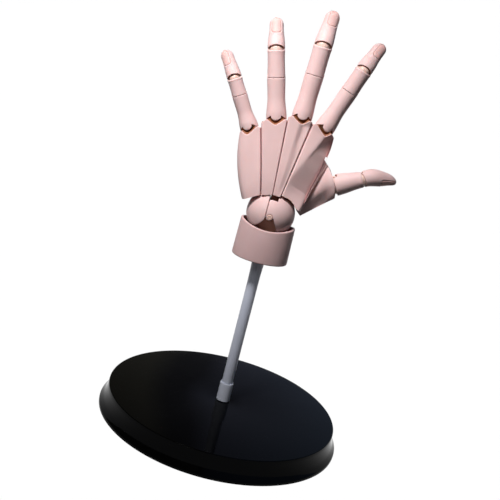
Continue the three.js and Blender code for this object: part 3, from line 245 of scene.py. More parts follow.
finish = Finish("bare_steel")
brushing = finish.noise(220, 3, (1, 1, 12))
finish.feed("Base Color", finish.shades(brushing, (0.3, (0.34, 0.34, 0.35)), (0.7, (0.46, 0.46, 0.48))))
finish.feed("Roughness", finish.between(brushing, 0.28, 0.42))
finish.relief(brushing, 0.05, 0.0001)
finish.set("Metallic", 1.0)
steel = finish.material

base_screw = turned("base_screw_turned", [
    (0, SCREW_HEAD_TOP - 1.3, 0), (1.5, SCREW_HEAD_TOP - 1.3, 0.2), (1.9, SCREW_HEAD_TOP - 2.2, 0.3),
    (SCREW_HEAD_RADIUS - 1.0, SCREW_HEAD_TOP - 2.0, 0.8), (SCREW_HEAD_RADIUS, SCREW_HEAD_TOP - 1.0, 0.5),
    (SCREW_HEAD_RADIUS, SCREW_HEAD_TOP, 0.2), (SCREW_SHANK_RADIUS, SCREW_HEAD_TOP, 0.2),
    (SCREW_SHANK_RADIUS, SCREW_END - 0.6, 0.2), (SCREW_SHANK_RADIUS - 0.5, SCREW_END, 0.2), (0, SCREW_END, 0),
], 64)
fit(base_screw, "base_screw", "base", "pin_steel", steel)

# Post and its foot sleeve: a straight grey rod of moulded plastic, a little thicker where it meets the cuff.
# The sleeve is pushed over its foot; the peg at the top carries the hand and lets it turn.
POST_RADIUS = 4.55
POST_TOP_RADIUS = 5.4
POST_BOTTOM = 7.5
POST_TOP = 146.4
PEG_RADIUS = 3.6
PEG_TOP = 158.0
SCREW_HOLE_RADIUS = 2.3
SCREW_HOLE_TOP = 18.0
SLEEVE_RADIUS = 5.6
SLEEVE_BORE_RADIUS = POST_RADIUS + 0.25
SLEEVE_BOTTOM = 18.3
SLEEVE_TOP = 34.3

finish = Finish("post_grey")
streak = finish.noise(90, 3, (1, 1, 0.15))
finish.feed("Base Color", finish.shades(streak, (0.3, (0.74, 0.79, 0.94)), (0.7, (0.82, 0.87, 1.0))))
finish.feed("Roughness", finish.between(finish.noise(300, 3), 0.36, 0.5))
finish.relief(finish.noise(900, 2), 0.04, 0.0001)
rod_grey = finish.material

post = turned("post_rod", [
    (0, SCREW_HOLE_TOP, 0), (SCREW_HOLE_RADIUS, SCREW_HOLE_TOP, 0), (SCREW_HOLE_RADIUS, POST_BOTTOM, 0),
    (POST_RADIUS, POST_BOTTOM, 0.3), (POST_RADIUS, POST_TOP - 20.4, 6),
    (POST_TOP_RADIUS - 0.5, POST_TOP - 8.0, 6), (POST_TOP_RADIUS, POST_TOP, 0.4),
    (PEG_RADIUS, POST_TOP, 0.2), (PEG_RADIUS, PEG_TOP, 0.8), (0, PEG_TOP, 0),
], 64)
fit(post, "post", "base", "post_grey", rod_grey)

sleeve = turned("post_foot_sleeve", [
    (SLEEVE_BORE_RADIUS, SLEEVE_BOTTOM, 0.2), (SLEEVE_RADIUS + 0.15, SLEEVE_BOTTOM, 0.5),
    (SLEEVE_RADIUS, SLEEVE_BOTTOM + 2.2, 0.8), (SLEEVE_RADIUS, SLEEVE_TOP, 0.7),
    (SLEEVE_BORE_RADIUS, SLEEVE_TOP, 0.2),
], 64, looped=True)
fit(sleeve, "post_sleeve", "base", "post_grey", rod_grey)

# Forearm cuff: an oval sleeve moulded in pale pink plastic, its upper edge dipped at the back and the palm.
# It is pressed over the plug of the wrist stem and turns with it on the post. Its pink is a little darker, as
# painted shade.
CUFF_BOTTOM = 144.9
CUFF_TOP = 175.4
CUFF_DIP = 3.8
CUFF_WALL = 1.9
CUFF_HEIGHT = 30.0
CUFF_HALF_WIDTH = 22.7
CUFF_HALF_DEPTH = 18.8
CUFF_TAPER = 0.7
CUFF_PAINTED_SHADE = (0.92, 0.90, 0.91)

finish = Finish("pink_plastic")
tone = finish.shades(
    finish.noise(38, 4),
    (0.25, (0.735, 0.512, 0.508)), (0.5, (0.775, 0.547, 0.543)), (0.75, (0.81, 0.582, 0.578)),
)
# Edges that stand out are lightened: a painted highlight for the light that rounded rims catch.
tone = finish.over(finish.between(finish.edges(), 0.0, 0.4, 0.53, 0.62), tone, (0.90, 0.70, 0.65))
tone = finish.over(finish.between(finish.mark("nail"), 0.0, 0.75, 0.0, 1.0), tone, (0.77, 0.475, 0.45))
# The groove round the nail is darkened with painted shade.
tone = finish.over(finish.between(finish.mark("nail_groove_shade"), 0.0, 0.6, 0.2, 1.0), tone, (0.42, 0.22, 0.19))
finish.feed("Base Color", tone)
finish.feed("Roughness", finish.between(finish.noise(120, 3), 0.48, 0.60))
finish.relief(finish.noise(1100, 2), 0.03, 0.0001)
finish.set("Subsurface Weight", 0.12)
finish.set("Subsurface Radius", (1.0, 0.42, 0.3))
finish.set("Subsurface Scale", 0.0022)
finish.set("Specular IOR Level", 0.22)
skin = finish.material

# The cuff takes a darker copy of the pink plastic, as painted shade.
cuff_shaded_skin = skin.copy()
cuff_shaded_skin.name = "cuff_painted_shade_plastic"
for node in cuff_shaded_skin.node_tree.nodes:
    if node.bl_idname == "ShaderNodeValToRGB":
        for stop in node.color_ramp.elements:
            stop.color = (*(share * tone for share, tone in zip(CUFF_PAINTED_SHADE, stop.color)), 1)

turn = np.arange(160) * 2 * np.pi / 160
cuff_rows = []
for inset, rise in softened([
    (0.0, 0.0, 1.3), (0.0, CUFF_HEIGHT, 1.3), (CUFF_WALL, CUFF_HEIGHT, 0.7), (CUFF_WALL, 0.0, 0.5),
]):
    level = rise / CUFF_HEIGHT
    half_width = CUFF_HALF_WIDTH - CUFF_TAPER * level - inset
    half_depth = CUFF_HALF_DEPTH - CUFF_TAPER * level - inset
    top = CUFF_TOP - CUFF_DIP * np.cos(turn) ** 2
    cuff_rows.append(np.stack([
        half_width * np.sin(turn), -half_depth * np.cos(turn), CUFF_BOTTOM + (top - CUFF_BOTTOM) * level,
    ], 1))
cuff = lofted("forearm_cuff_moulded", cuff_rows, looped=True)
fit(cuff, "forearm_cuff", "forearm", "hand_plastic", cuff_shaded_skin)

# Wrist stem and palm core: the plug inside the cuff, with two round cheeks that reach into the wrist ball,
# and the block inside the palm, whose tongue runs in the ball's slot. Both stay as the CAD gives them, in a
# brown that is painted shade; the stem shows only in the dark fan-shaped opening below the wrist pin.


def shade_brown_plastic(name, dark, light, grain=70, dull_grain=200, dull=0.65, pits=900):
    """A brown plastic whose colour stands for painted shade, faintly mottled between two tones and finely
    pitted.
    """
    finish = Finish(name)
    finish.feed("Base Color", finish.shades(finish.noise(grain, 3), (0.3, dark), (0.7, light)))
    finish.feed("Roughness", finish.between(finish.noise(dull_grain, 3), 0.5, dull))
    finish.relief(finish.noise(pits, 2), 0.05, 0.0001)
    return finish.material


def show_solid(node, finish):
    """Shows a CAD solid as it is, in its finish."""
    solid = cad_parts[node]
    solid.data.materials.clear()
    solid.data.materials.append(finish)


# The brown of the stem and core is painted shade, for the dark opening where the stem shows.
inner_shade_brown = shade_brown_plastic("inner_painted_shade_plastic", (0.52, 0.26, 0.185), (0.60, 0.31, 0.22), 45, 150, 0.62, 800)
show_solid("wrist_stem", inner_shade_brown)
show_solid("palm_core", inner_shade_brown)

# Wrist ball: two thick half shells of pink plastic that close round the stem's cheeks and the palm's tongue.
# The left half is a plain dome, the right one has a strip for the pin; a slot at the top lets the palm bend.
BALL_CENTRE = np.array((0.0, 0.0, 183.0))
BALL_RADIUS = 18.5
BALL_SEAM = -3.3
LEFT_DOME_RADIUS, RIGHT_DOME_RADIUS = BALL_RADIUS + 0.9, BALL_RADIUS + 0.7
SEAM_GROOVE = 0.48
SEAM_DEPTH = 0.7
SEAM_PLAY = 0.03
MOULD_GRAIN = 0.32
MOULD_PASSES = 5
CHEEK_NEAR, CHEEK_FAR = 6.4, 10.8
CHEEK_ROOM_RADIUS = 12.6
CHEEK_NECK_HALF = 8.6
CHEEK_SWING = 16
BELOW_PIN_REACH = 25
PIN_BORE_RADIUS = 2.4
PIN_BOSS_RADIUS = 2.75
WINDOW_ARC_RADIUS = 16.5
WINDOW_ARC_START = math.radians(14)
WINDOW_RIGHT_ANGLE = 25
WINDOW_HALF_BACK, WINDOW_HALF_PALM = 3.0, 4.4
TONGUE_ROOM_HALF = 3.4
TONGUE_NECK_HALF = 3.5
TONGUE_EYE_RADIUS = 6.2
TONGUE_SWING_BACK, TONGUE_SWING_PALM = 37, 42
BEYOND = 40
FAR_BELOW = BALL_CENTRE[2] - 2 * BEYOND


def rod(name, start, end, radius, sides):
    """A round bar between two points, used for pins and to cut bores and round pockets."""
    start, end = np.array(start, float), np.array(end, float)
    line = (end - start) / np.linalg.norm(end - start)
    side = np.cross(line, (1.0, 0.0, 0.0) if abs(line[0]) < 0.8 else (0.0, 1.0, 0.0))
    side /= np.linalg.norm(side)
    other = np.cross(line, side)
    turn = np.arange(sides) * 2 * np.pi / sides
    ring = radius * (np.cos(turn)[:, None] * side + np.sin(turn)[:, None] * other)
    return lofted(name, [start[None], start + ring, end + ring, end[None]])


def sphere(name, centre, radius, wide, high):
    """A fine ball, as rings about the upright line."""
    turn = np.arange(wide) * 2 * np.pi / wide
    rows = [centre[None] - (0, 0, radius)]
    for tilt in np.linspace(-np.pi / 2, np.pi / 2, high + 1)[1:-1]:
        level, rise = np.cos(tilt), np.sin(tilt)
        ring = np.stack([np.cos(turn) * level, np.sin(turn) * level, np.full(wide, rise)], 1)
        rows.append(centre + radius * ring)
    rows.append(centre[None] + (0, 0, radius))
    return lofted(name, rows)


def slab(name, outline, depth_from, depth_to, plane="xz"):
    """A flat outline given a thickness, in the hand plane or in the plane across it."""
    flat = np.array(outline, float)
    order = (0, 2, 1) if plane == "xz" else (2, 0, 1)
    layers = [np.column_stack([flat, np.full(len(flat), depth)]) for depth in (depth_from, depth_to)]
    return lofted(name, [layer[:, order] for layer in layers], capped=True)


def upright_box(left, right, low, high):
    """The outline of an upright rectangle in the hand plane."""
    return [(left, low), (right, low), (right, high), (left, high)]


def carve(piece, cutters, operation="DIFFERENCE"):
    """Cuts the piece with each cutter in turn, or joins or crosses them, and takes the cutters away."""
    for cutter in cutters:
        cut = piece.modifiers.new("cut", "BOOLEAN")
        cut.operation = operation
        cut.solver = "MANIFOLD"
        cut.object = cutter
    shape = bpy.data.meshes.new_from_object(piece.evaluated_get(bpy.context.evaluated_depsgraph_get()))
    piece.modifiers.clear()
    shape.name = piece.name
    piece.data = shape
    for cutter in cutters:
        bpy.data.objects.remove(cutter)


def round_edges(piece, grain, passes):
    """Rebuilds the piece from even small faces and eases its edges, as a moulded edge is."""
    fine = piece.modifiers.new("fine", "REMESH")
    fine.mode = "VOXEL"
    fine.voxel_size = grain * MM
    ease = piece.modifiers.new("ease", "SMOOTH")
    ease.factor = 0.5
    ease.iterations = passes
    shape = bpy.data.meshes.new_from_object(piece.evaluated_get(bpy.context.evaluated_depsgraph_get()))
    piece.modifiers.clear()
    shape.name = piece.name
    piece.data = shape
    shape.shade_smooth()


def below_pin(start, angle):
    """A point outside the ball on a line that runs down and out from beside the wrist pin."""
    angle = math.radians(angle)
    return start + BELOW_PIN_REACH * math.sin(angle), BALL_CENTRE[2] - BELOW_PIN_REACH * math.cos(angle)


def window_outline(start):
    """The opening below the wrist pin: an arc under the left dome, a straight edge at the right."""
    arc = []
    for turn in np.linspace(WINDOW_ARC_START, math.pi / 2, 16):
        aside = WINDOW_ARC_RADIUS * (math.cos(WINDOW_ARC_START) - math.cos(turn))
        down = WINDOW_ARC_RADIUS * (math.sin(turn) - math.sin(WINDOW_ARC_START))
        arc.append((-start - aside, BALL_CENTRE[2] - down))
    below = [(-60, arc[-1][1]), (0, FAR_BELOW), below_pin(start, WINDOW_RIGHT_ANGLE)]
    return [(start, BALL_CENTRE[2]), *arc, *below]


def tongue_edge(side, angle):
    """The two ends of the edge that stops the palm's tongue when it is bent to one side."""
    c, k = math.cos(math.radians(angle)), math.sin(math.radians(angle))
    foot = (side * TONGUE_NECK_HALF * c, BALL_CENTRE[2] - TONGUE_NECK_HALF * k)
    return foot, (foot[0] + side * BEYOND * k, foot[1] + BEYOND * c)


def wrist_half(name, node, radius, seam_from, seam_to):
    """One half of the ball, hollowed for the cheeks, the pins and the tongue."""
    x, y, z = BALL_CENTRE
    half = sphere(name, BALL_CENTRE, radius, 144, 72)
    cutters = []
    for side, window_half in ((-1, WINDOW_HALF_BACK), (1, WINDOW_HALF_PALM)):
        near, far = side * CHEEK_NEAR, side * CHEEK_FAR
        cutters.append(rod("pocket", (x, near, z), (x, far, z), CHEEK_ROOM_RADIUS, 48))
        out, down = below_pin(CHEEK_NECK_HALF, CHEEK_SWING)
        swing = [(-CHEEK_NECK_HALF, z), (CHEEK_NECK_HALF, z), (out, down), (0, FAR_BELOW), (-out, down)]
        cutters.append(slab("swing", swing, min(near, far), max(near, far)))
        outer = side * (radius + 2)
        window = slab("window", window_outline(window_half), min(far, outer), max(far, outer))
        carve(window, [rod("boss", (x, far - side, z), (x, outer + side, z), PIN_BOSS_RADIUS, 40)])
        cutters.append(window)
        cutters.append(rod("pin_bore", (x, near, z), (x, outer, z), PIN_BORE_RADIUS, 40))
    back_foot, back_end = tongue_edge(-1, TONGUE_SWING_BACK)
    palm_foot, palm_end = tongue_edge(1, TONGUE_SWING_PALM)
    slot = [back_foot, back_end, (0.0, z + 60), palm_end, palm_foot]
    cutters.append(slab("slot", slot, x - TONGUE_ROOM_HALF, x + TONGUE_ROOM_HALF, plane="yz"))
    eye = [(x + side * TONGUE_ROOM_HALF, y, z) for side in (-1, 1)]
    cutters.append(rod("eye_space", *eye, TONGUE_EYE_RADIUS, 40))
    seam = upright_box(BALL_SEAM - SEAM_GROOVE / 2, BALL_SEAM + SEAM_GROOVE / 2, z - BEYOND, z + BEYOND)
    groove = slab("groove", seam, -BEYOND, BEYOND)
    carve(groove, [sphere("inside", BALL_CENTRE, BALL_RADIUS - SEAM_DEPTH, 96, 48)])
    cutters.append(groove)
    room = slab("side", upright_box(seam_from, seam_to, z - BEYOND, z + BEYOND), -BEYOND, BEYOND)
    carve(half, [room], "INTERSECT")
    carve(half, cutters)
    round_edges(half, MOULD_GRAIN, MOULD_PASSES)
    half.data.materials.clear()
    fit(half, node, "wrist", "hand_plastic", skin)


wrist_half("wrist_dome_left", "wrist_ball_left", LEFT_DOME_RADIUS, -BEYOND, BALL_SEAM - SEAM_PLAY)
wrist_half("wrist_dome_right", "wrist_ball_right", RIGHT_DOME_RADIUS, BALL_SEAM + SEAM_PLAY, BEYOND)

# Wrist pins: two short round pins of peach plastic, one pressed in from the back and one from the palm side.
# Each head shows a fine ring and the small dimple left by moulding; the wrist swings sideways on them.
PIN_RADIUS = 2.15
PIN_FOOT = 6.9
PIN_HEAD = 20.1

finish = Finish("peach_plastic")
tone = finish.shades(finish.noise(60, 3), (0.3, (0.72, 0.49, 0.43)), (0.7, (0.77, 0.54, 0.47)))
# Edges that stand out are lightened: a painted highlight for the light that rounded rims catch.
tone = finish.over(finish.between(finish.edges(), 0.0, 0.25, 0.53, 0.65), tone, (0.90, 0.70, 0.63))
finish.feed("Base Color", tone)
finish.feed("Roughness", finish.between(finish.noise(140, 3), 0.40, 0.5))
finish.relief(finish.noise(1000, 2), 0.03, 0.0001)
finish.set("Subsurface Weight", 0.12)
finish.set("Subsurface Radius", (1.0, 0.42, 0.28))
finish.set("Subsurface Scale", 0.002)
peach = finish.material

for side, node in ((-1, "wrist_pin_back"), (1, "wrist_pin_palm")):
    rows = []
    for r, reach in softened([
        (0.0, PIN_FOOT, 0), (PIN_RADIUS, PIN_FOOT, 0.2), (PIN_RADIUS, PIN_HEAD - 0.2, 0.35),
        (1.35, PIN_HEAD, 0.12), (1.2, PIN_HEAD - 0.3, 0.1), (1.0, PIN_HEAD - 0.3, 0.1),
        (0.85, PIN_HEAD, 0.12), (0.3, PIN_HEAD, 0.1), (0.0, PIN_HEAD - 0.25, 0),
    ]):
        ring = level_ring(r, 0.0, 48)
        rows.append(np.stack([ring[:, 0], np.full(len(ring), side * reach), BALL_CENTRE[2] + ring[:, 1]], 1))
    pin = lofted(node + "_headed", rows)
    fit(pin, node, "wrist", "joint_plastic", peach)

# Axles and knuckle pins: plain steel rods inside the hand that the wrist, palm, thumb and fingers turn on.
# They stay as the CAD gives them, because nothing of them shows but the bare steel ends.
for node in ("wrist_axle", "palm_axle", "thumb_axle", "little_knuckle_pin", "ring_knuckle_pin",
             "middle_knuckle_pin", "index_knuckle_pin"):
    show_solid(node, steel)

# Metacarpals: four wedge-shaped plates side by side that form the back of the hand, with hair-thin seams.
# Each has a notched socket for its knuckle and a hollow round the wrist ball; tendons show as soft hollows.
PLATE_END = -1.4
PLATE_BACK, PLATE_FRONT = 12.4, 12.6
SOCKET_EASE = 0.3
SOCKET_WALL_BACK, SOCKET_WALL_FRONT = 0.65, 0.95
SOCKET_EDGE = 0.6
NOTCH_DEPTH, NOTCH_RISE = 5.3, 4.2
KNUCKLE_CUT = math.radians(50)
THUMB_AXLE_FOOT = np.array((20.6, 4.6, 190.0))
THUMB_AXLE_LINE = np.array((0.19, 0.0, 0.98)) / math.hypot(0.19, 0.98)
THUMB_TURN_ROOM = 5.7
THUMB_TURN_TOP = 47.5
LUG_FROM, LUG_TO = 9, 15
LUG_RADIUS = 3.4
TONGUE_ROOM_TOP = 213.8

# For each finger, knuckle is the joint's place, lean its angle from upright, lengths and halves are the
# lengths and half widths of its pieces. wrist_left and wrist_right are the plate's corners at the wrist and
# reach its half widths at the knuckle; bulge bows its edges, and close shuts the seams below their groove.
FINGERS = {
    "little": {
        "knuckle": (-33.0, 2.2, 244.4), "lean": -30.6, "body": "little_metacarpal",
        "lengths": (24.9, 13.4, 24.2), "halves": (7.2, 5.95, 5.75, 4.9),
        "wrist_left": (-25.0, 189.4), "wrist_right": (-11.1, 197.2), "reach": (7.7, 9.3),
        "bulge": (-3.0, 0.3), "close": (0, 0.23), "squares": (3, 22), "seams": (0.45, 0.55),
        "socket_gap": 2.1, "socket_shift": (-0.8, -0.6, 0), "lobe_turn": -8, "notch": -1.0,
        "nail_turn": -24, "drift": -1.6,
    },
    "ring": {
        "knuckle": (-14.2, 0.6, 256.8), "lean": -14.3, "body": "ring_metacarpal",
        "lengths": (29.8, 20.8, 25.4), "halves": (7.9, 7.0, 6.6, 5.4),
        "wrist_left": (-10.9, 197.3), "wrist_right": (-2.1, 198.6), "reach": (11.3, 8.65),
        "bulge": (0.3, 0.0), "close": (0.23, 0.22), "squares": (22, 22), "seams": (0.55, 0.13),
        "socket_gap": 1.8, "socket_shift": (0, -0.6, 0), "lobe_turn": 0, "notch": 0.0,
        "nail_turn": 0, "drift": 0.0,
    },
    "middle": {
        "knuckle": (4.9, 0.0, 262.2), "lean": 2.1, "body": "palm",
        "lengths": (32.2, 21.9, 29.4), "halves": (8.0, 7.3, 7.1, 5.8),
        "wrist_left": (-1.9, 198.6), "wrist_right": (4.3, 199.5), "reach": (9.85, 8.9),
        "bulge": (0.0, 0.0), "close": (0.22, 0.35), "squares": (22, 22), "seams": (0.13, 0.2),
        "socket_gap": 1.8, "socket_shift": (0, -0.6, 0), "lobe_turn": 2, "notch": 1.6,
        "nail_turn": 16, "drift": 1.0,
    },
    "index": {
        "knuckle": (24.1, 0.8, 258.4), "lean": 19.6, "body": "palm",
        "lengths": (32.0, 18.9, 26.2), "halves": (7.8, 6.7, 6.45, 5.3),
        "wrist_left": (4.5, 199.5), "wrist_right": (22.0, 191.4), "reach": (9.55, 9.6),
        "bulge": (0.0, 0.0), "close": (0.35, 0), "squares": (22, 8), "seams": (0.2, 0.45),
        "socket_gap": 2.6, "socket_shift": (2.2, -0.6, 0), "lobe_turn": 14, "notch": 2.4,
        "nail_turn": 22, "drift": 1.6,
    },
}

# The dark brown inside the sockets, seats and hollows is painted shade, for the shade that falls deep in
# them.
socket_shade_brown = shade_brown_plastic("socket_painted_shade_plastic", (0.25, 0.085, 0.035), (0.31, 0.11, 0.05))


class Place:
    """A place on the hand with three directions: along the piece, across it and out of its back."""

    def __init__(self, origin, along, across, back):
        self.origin = np.array(origin, float)
        self.along = np.array(along, float)
        self.across = np.array(across, float)
        self.back = np.array(back, float)

    def at(self, s, w, n):
        """The points s along, w across and n out of the back."""
        s, w, n = (np.asarray(v, float)[..., None] for v in (s, w, n))
        return self.origin + s * self.along + w * self.across + n * self.back

    def local(self, points):
        """How far each point lies along, across and out of the back."""
        d = points - self.origin
        return np.stack([d @ self.along, d @ self.across, d @ self.back], 1)

    def bent(self, distance, angle):
        """The place further along, bent towards the palm."""
        c, k = math.cos(math.radians(angle)), math.sin(math.radians(angle))
        along, back = c * self.along - k * self.back, c * self.back + k * self.along
        return Place(self.at(distance, 0, 0), along, self.across, back)

    def rolled(self, angle):
        """The place turned about its own line."""
        c, k = math.cos(math.radians(angle)), math.sin(math.radians(angle))
        across, back = c * self.across - k * self.back, c * self.back + k * self.across
        return Place(self.origin, self.along, across, back)


def leaning(origin, lean):
    """A place in the hand plane whose line leans from upright."""
    c, k = math.cos(math.radians(lean)), math.sin(math.radians(lean))
    return Place(origin, (k, 0, c), (c, 0, -k), (0, -1, 0))


def knuckle_place(finger):
    """The place of a finger's knuckle, along its first piece."""
    return leaning(finger["knuckle"], finger["lean"])


def smooth(t):
    """A soft step from 0 to 1."""
    t = np.clip(t, 0, 1)
    return t * t * (3 - 2 * t)


def squared_round(left_square, right_square, count):
    """Even steps round a unit outline whose two sides are more or less square; back is +1, front -1."""
    angle = np.linspace(0, 2 * np.pi, 6001)
    square = np.where(np.sin(angle) < 0, left_square, right_square)
    across = np.sign(np.sin(angle)) * np.abs(np.sin(angle)) ** (2 / square)
    deep = np.sign(np.cos(angle)) * np.abs(np.cos(angle)) ** (2 / square)
    travel = np.concatenate([[0], np.cumsum(np.hypot(np.diff(across), 1.3 * np.diff(deep)))])
    steps = np.linspace(0, travel[-1], count + 1)[:-1]
    return np.interp(steps, travel, across), np.interp(steps, travel, deep)


def round_seat(place, centre, side, rim, radius, steps):
    """Rows of the round seat inside an end, from its bottom out to its edge below the rim."""
    turn = np.arctan2(rim[:, 1], rim[:, 2])
    reach = np.linalg.norm(rim - (centre, 0, 0), axis=1)
    ends = np.arccos(side * (rim[:, 0] - centre) / reach)
    rows = [place.at(centre + side * radius, 0, 0)[None]]
    for k in range(1, steps + 1):
        tilt = ends * k / steps
        out = radius * np.sin(tilt)
        rows.append(place.at(centre + side * radius * np.cos(tilt), out * np.sin(turn), out * np.cos(turn)))
    return rows


def eased_edge(inner, rim, outer, edge):
    """Rows that round the rim between the end face and the skin."""
    toward = inner - rim
    length = np.linalg.norm(toward, axis=1, keepdims=True)
    start = rim + toward * np.minimum(0.85, edge / np.maximum(length, 1e-6))
    return [(1 - t) ** 2 * start + 2 * t * (1 - t) * rim + t * t * outer for t in np.linspace(0, 1, 6)]


def index_bow(t):
    """How far the free edge of the index plate bows out, less above the narrow end of the thumb base."""
    dip = np.exp(-((t - 0.3) / 0.2) ** 2) * smooth(t / 0.15)
    return 9.6 * t * (1 - t) - dip + 0.4 * np.exp(-((t - 0.83) / 0.12) ** 2)


def tendons(name, t, u):
    """How far the back of a plate rises or sinks, at t from wrist to knuckle and u from left to right."""
    fade = smooth(t / 0.15) * smooth((1.03 - t) / 0.12)
    if name == "middle":
        hollow = -0.6 * np.exp(-((u - 0.4) / 0.25) ** 2) * smooth((t - 0.5) / 0.3)
        return (hollow - 0.25 * (3.1 + 6.3 * t) * smooth((u + 0.1) / 0.9)) * fade
    if name == "index":
        ridge = np.interp(t, [0.2, 0.3, 0.4, 0.5, 0.6, 0.7, 0.8, 0.9, 1.0],
                          [-0.95, -0.84, -0.68, -0.52, -0.38, -0.2, 0.0, 0.2, 0.45])
        steep = np.interp(t, [0, 0.1, 0.2, 0.4, 0.7, 0.8, 0.9, 0.95, 1.0],
                          [0.1, 0.28, 0.46, 0.5, 0.55, 0.8, 0.95, 0.75, 0.3])
        past = 9.9 * (u - ridge)
        fall = steep * 0.7 * np.logaddexp(0, past / 0.7)
        fall = fall + 0.4 * smooth(past / 2.2) * smooth((t - 0.5) / 0.2) * smooth((0.98 - t) / 0.12)
        return -fall - 0.6 * fade
    if name == "ring":
        return 0.25 * np.cos(np.pi * u / 2) * smooth((t - 0.3) / 0.5)
    return 0.3 * np.cos(np.pi * (u - 0.2) / 2) * smooth((t - 0.2) / 0.6)


def metacarpal(name, finger):
    """One plate of the palm, lofted from the wrist to the rim of its knuckle socket."""
    place = knuckle_place(finger)
    half = finger["halves"][0]
    seat = half - SOCKET_EASE
    across, deep = squared_round(*finger["squares"], 200)
    corners = (finger["wrist_left"], finger["wrist_right"])
    wrist_left, wrist_right = (np.array((x, 0.0, z)) for x, z in corners)
    end_left = place.at(PLATE_END, -finger["reach"][0], 0) * (1, 0, 1)
    end_right = place.at(PLATE_END, finger["reach"][1], 0) * (1, 0, 1)

    def ring(t):
        t = np.broadcast_to(t, across.shape)[:, None]
        seam = smooth((np.abs(deep) - 0.45) / 0.4)[:, None]
        close = [(0.1 * (edge > 0) + edge * t) * (1 - seam) for edge in finger["close"]]
        seam = [width / 2 * (0.1 + 0.9 * seam) for width in finger["seams"]]
        bow = [bulge * 4 * t * (1 - t) for bulge in finger["bulge"]]
        left = wrist_left + (end_left - wrist_left) * t
        right = wrist_right + (end_right - wrist_right) * t
        left = left + np.array((1, 0, 0)) * (bow[0] + seam[0] - close[0])
        right = right + np.array((1, 0, 0)) * (bow[1] - seam[1] + close[1])
        if name == "index":
            right = right + np.array((1, 0, 0)) * index_bow(t)
        points = (left + right) / 2 + (right - left) / 2 * across[:, None]
        t = t[:, 0]
        back = PLATE_BACK + (seat + SOCKET_WALL_BACK - PLATE_BACK) * smooth(t)
        front = PLATE_FRONT + (seat + SOCKET_WALL_FRONT - PLATE_FRONT) * smooth(t)
        lift = tendons(name, t, across) * smooth((deep - 0.35) / 0.4)
        points[:, 1] = finger["knuckle"][1] * t - deep * np.where(deep > 0, back, front) - lift
        return points

    last = place.local(ring(1.0))
    aside = np.abs(last[:, 1])
    off = last[:, 1] - finger["notch"]
    share = np.clip(np.abs(off) / (0.83 * half - np.sign(off) * finger["notch"]), 0, 1)
    bowl = -NOTCH_DEPTH + NOTCH_RISE * share ** 1.4
    notch = bowl - 0.75 * np.clip(aside - half, 0, 4) - 1.1 * np.clip(1 - last[:, 2] / 5, 0, 1)
    slant = np.minimum(-3.7, last[:, 2] / math.tan(KNUCKLE_CUT + 0.04))
    rim_s = np.where(last[:, 2] > 0, notch, slant)
    run = last[:, 0] - place.local(ring(0.0))[:, 0]
    stop = 1 - (last[:, 0] - rim_s) / run
    rim = place.local(ring(stop))
    below = place.local(ring(stop - SOCKET_EDGE / run))
    inner = rim * (seat / np.linalg.norm(rim, axis=1, keepdims=True))
    rows = [ring(0.0).mean(0)[None]]
    rows += [ring(t * (stop - SOCKET_EDGE / run)) for t in np.linspace(0, 1, 72)]
    rows += [place.at(*row.T) for row in reversed(eased_edge(inner, rim, below, SOCKET_EDGE))]
    inner_from = len(rows) - 2
    rows += round_seat(place, 0, -1, rim, seat, 12)[::-1]
    return lofted(name + "_metacarpal_plate", rows, inside=range(inner_from, len(rows)))


def paint_hollow_shade(piece, centre, radius):
    """Paints the hollow round the wrist ball in the dark brown of painted shade."""
    for face in piece.data.polygons:
        if abs(np.linalg.norm(np.array(face.center) / MM - centre) - radius) < 0.1:
            face.material_index = 1


def on_axle(distance):
    """A point on the thumb axle, at a distance from its foot."""
    return THUMB_AXLE_FOOT + THUMB_AXLE_LINE * distance


def beside_axle(name, low, high, left, right, near, far):
    """A box set along the thumb axle."""
    side = np.array((THUMB_AXLE_LINE[2], 0.0, -THUMB_AXLE_LINE[0]))
    deep = np.array((0.0, 1.0, 0.0))
    corners = ((left, near), (right, near), (right, far), (left, far))
    ends = [np.array([on_axle(at) + side * x + deep * y for x, y in corners]) for at in (low, high)]
    return lofted(name, [ends[0].mean(0)[None], *ends, ends[1].mean(0)[None]])


for name, finger in FINGERS.items():
    plate = metacarpal(name, finger)
    plate.data.materials.append(skin)
    plate.data.materials.append(socket_shade_brown)
    hollow, hollow_radius = BALL_CENTRE + finger["socket_shift"], BALL_RADIUS + finger["socket_gap"]
    cutters = [sphere("wrist_room", hollow, hollow_radius, 120, 60)]
    if name in ("ring", "middle"):
        tongue_room = upright_box(-TONGUE_ROOM_HALF, TONGUE_ROOM_HALF, 170, TONGUE_ROOM_TOP)
        cutters.append(slab("tongue_room", tongue_room, -5, 5))
    if name == "index":
        lug = rod("lug", on_axle(LUG_FROM), on_axle(LUG_TO), LUG_RADIUS, 40)
        lug_root = beside_axle("lug_root", LUG_FROM, LUG_TO, -11, 0, -LUG_RADIUS, LUG_RADIUS)
        room = rod("turn_room", on_axle(-9), on_axle(THUMB_TURN_TOP), THUMB_TURN_ROOM, 72)
        room_side = beside_axle("side", -12, THUMB_TURN_TOP, 0, 40, -0.4, 30)
        room_palm = beside_axle("deep", -12, 60, -5, 40, 3, 30)
        carve(room, [room_side, room_palm], "UNION")
        carve(room, [lug, lug_root])
        cutters.append(room)
    carve(plate, cutters)
    # The hollow round the wrist ball takes the painted shade.
    paint_hollow_shade(plate, hollow, hollow_radius)
    plate.data.set_sharp_from_angle(angle=SHARP_EDGE)
    fit(plate, name + "_metacarpal", finger["body"], "hand_plastic")

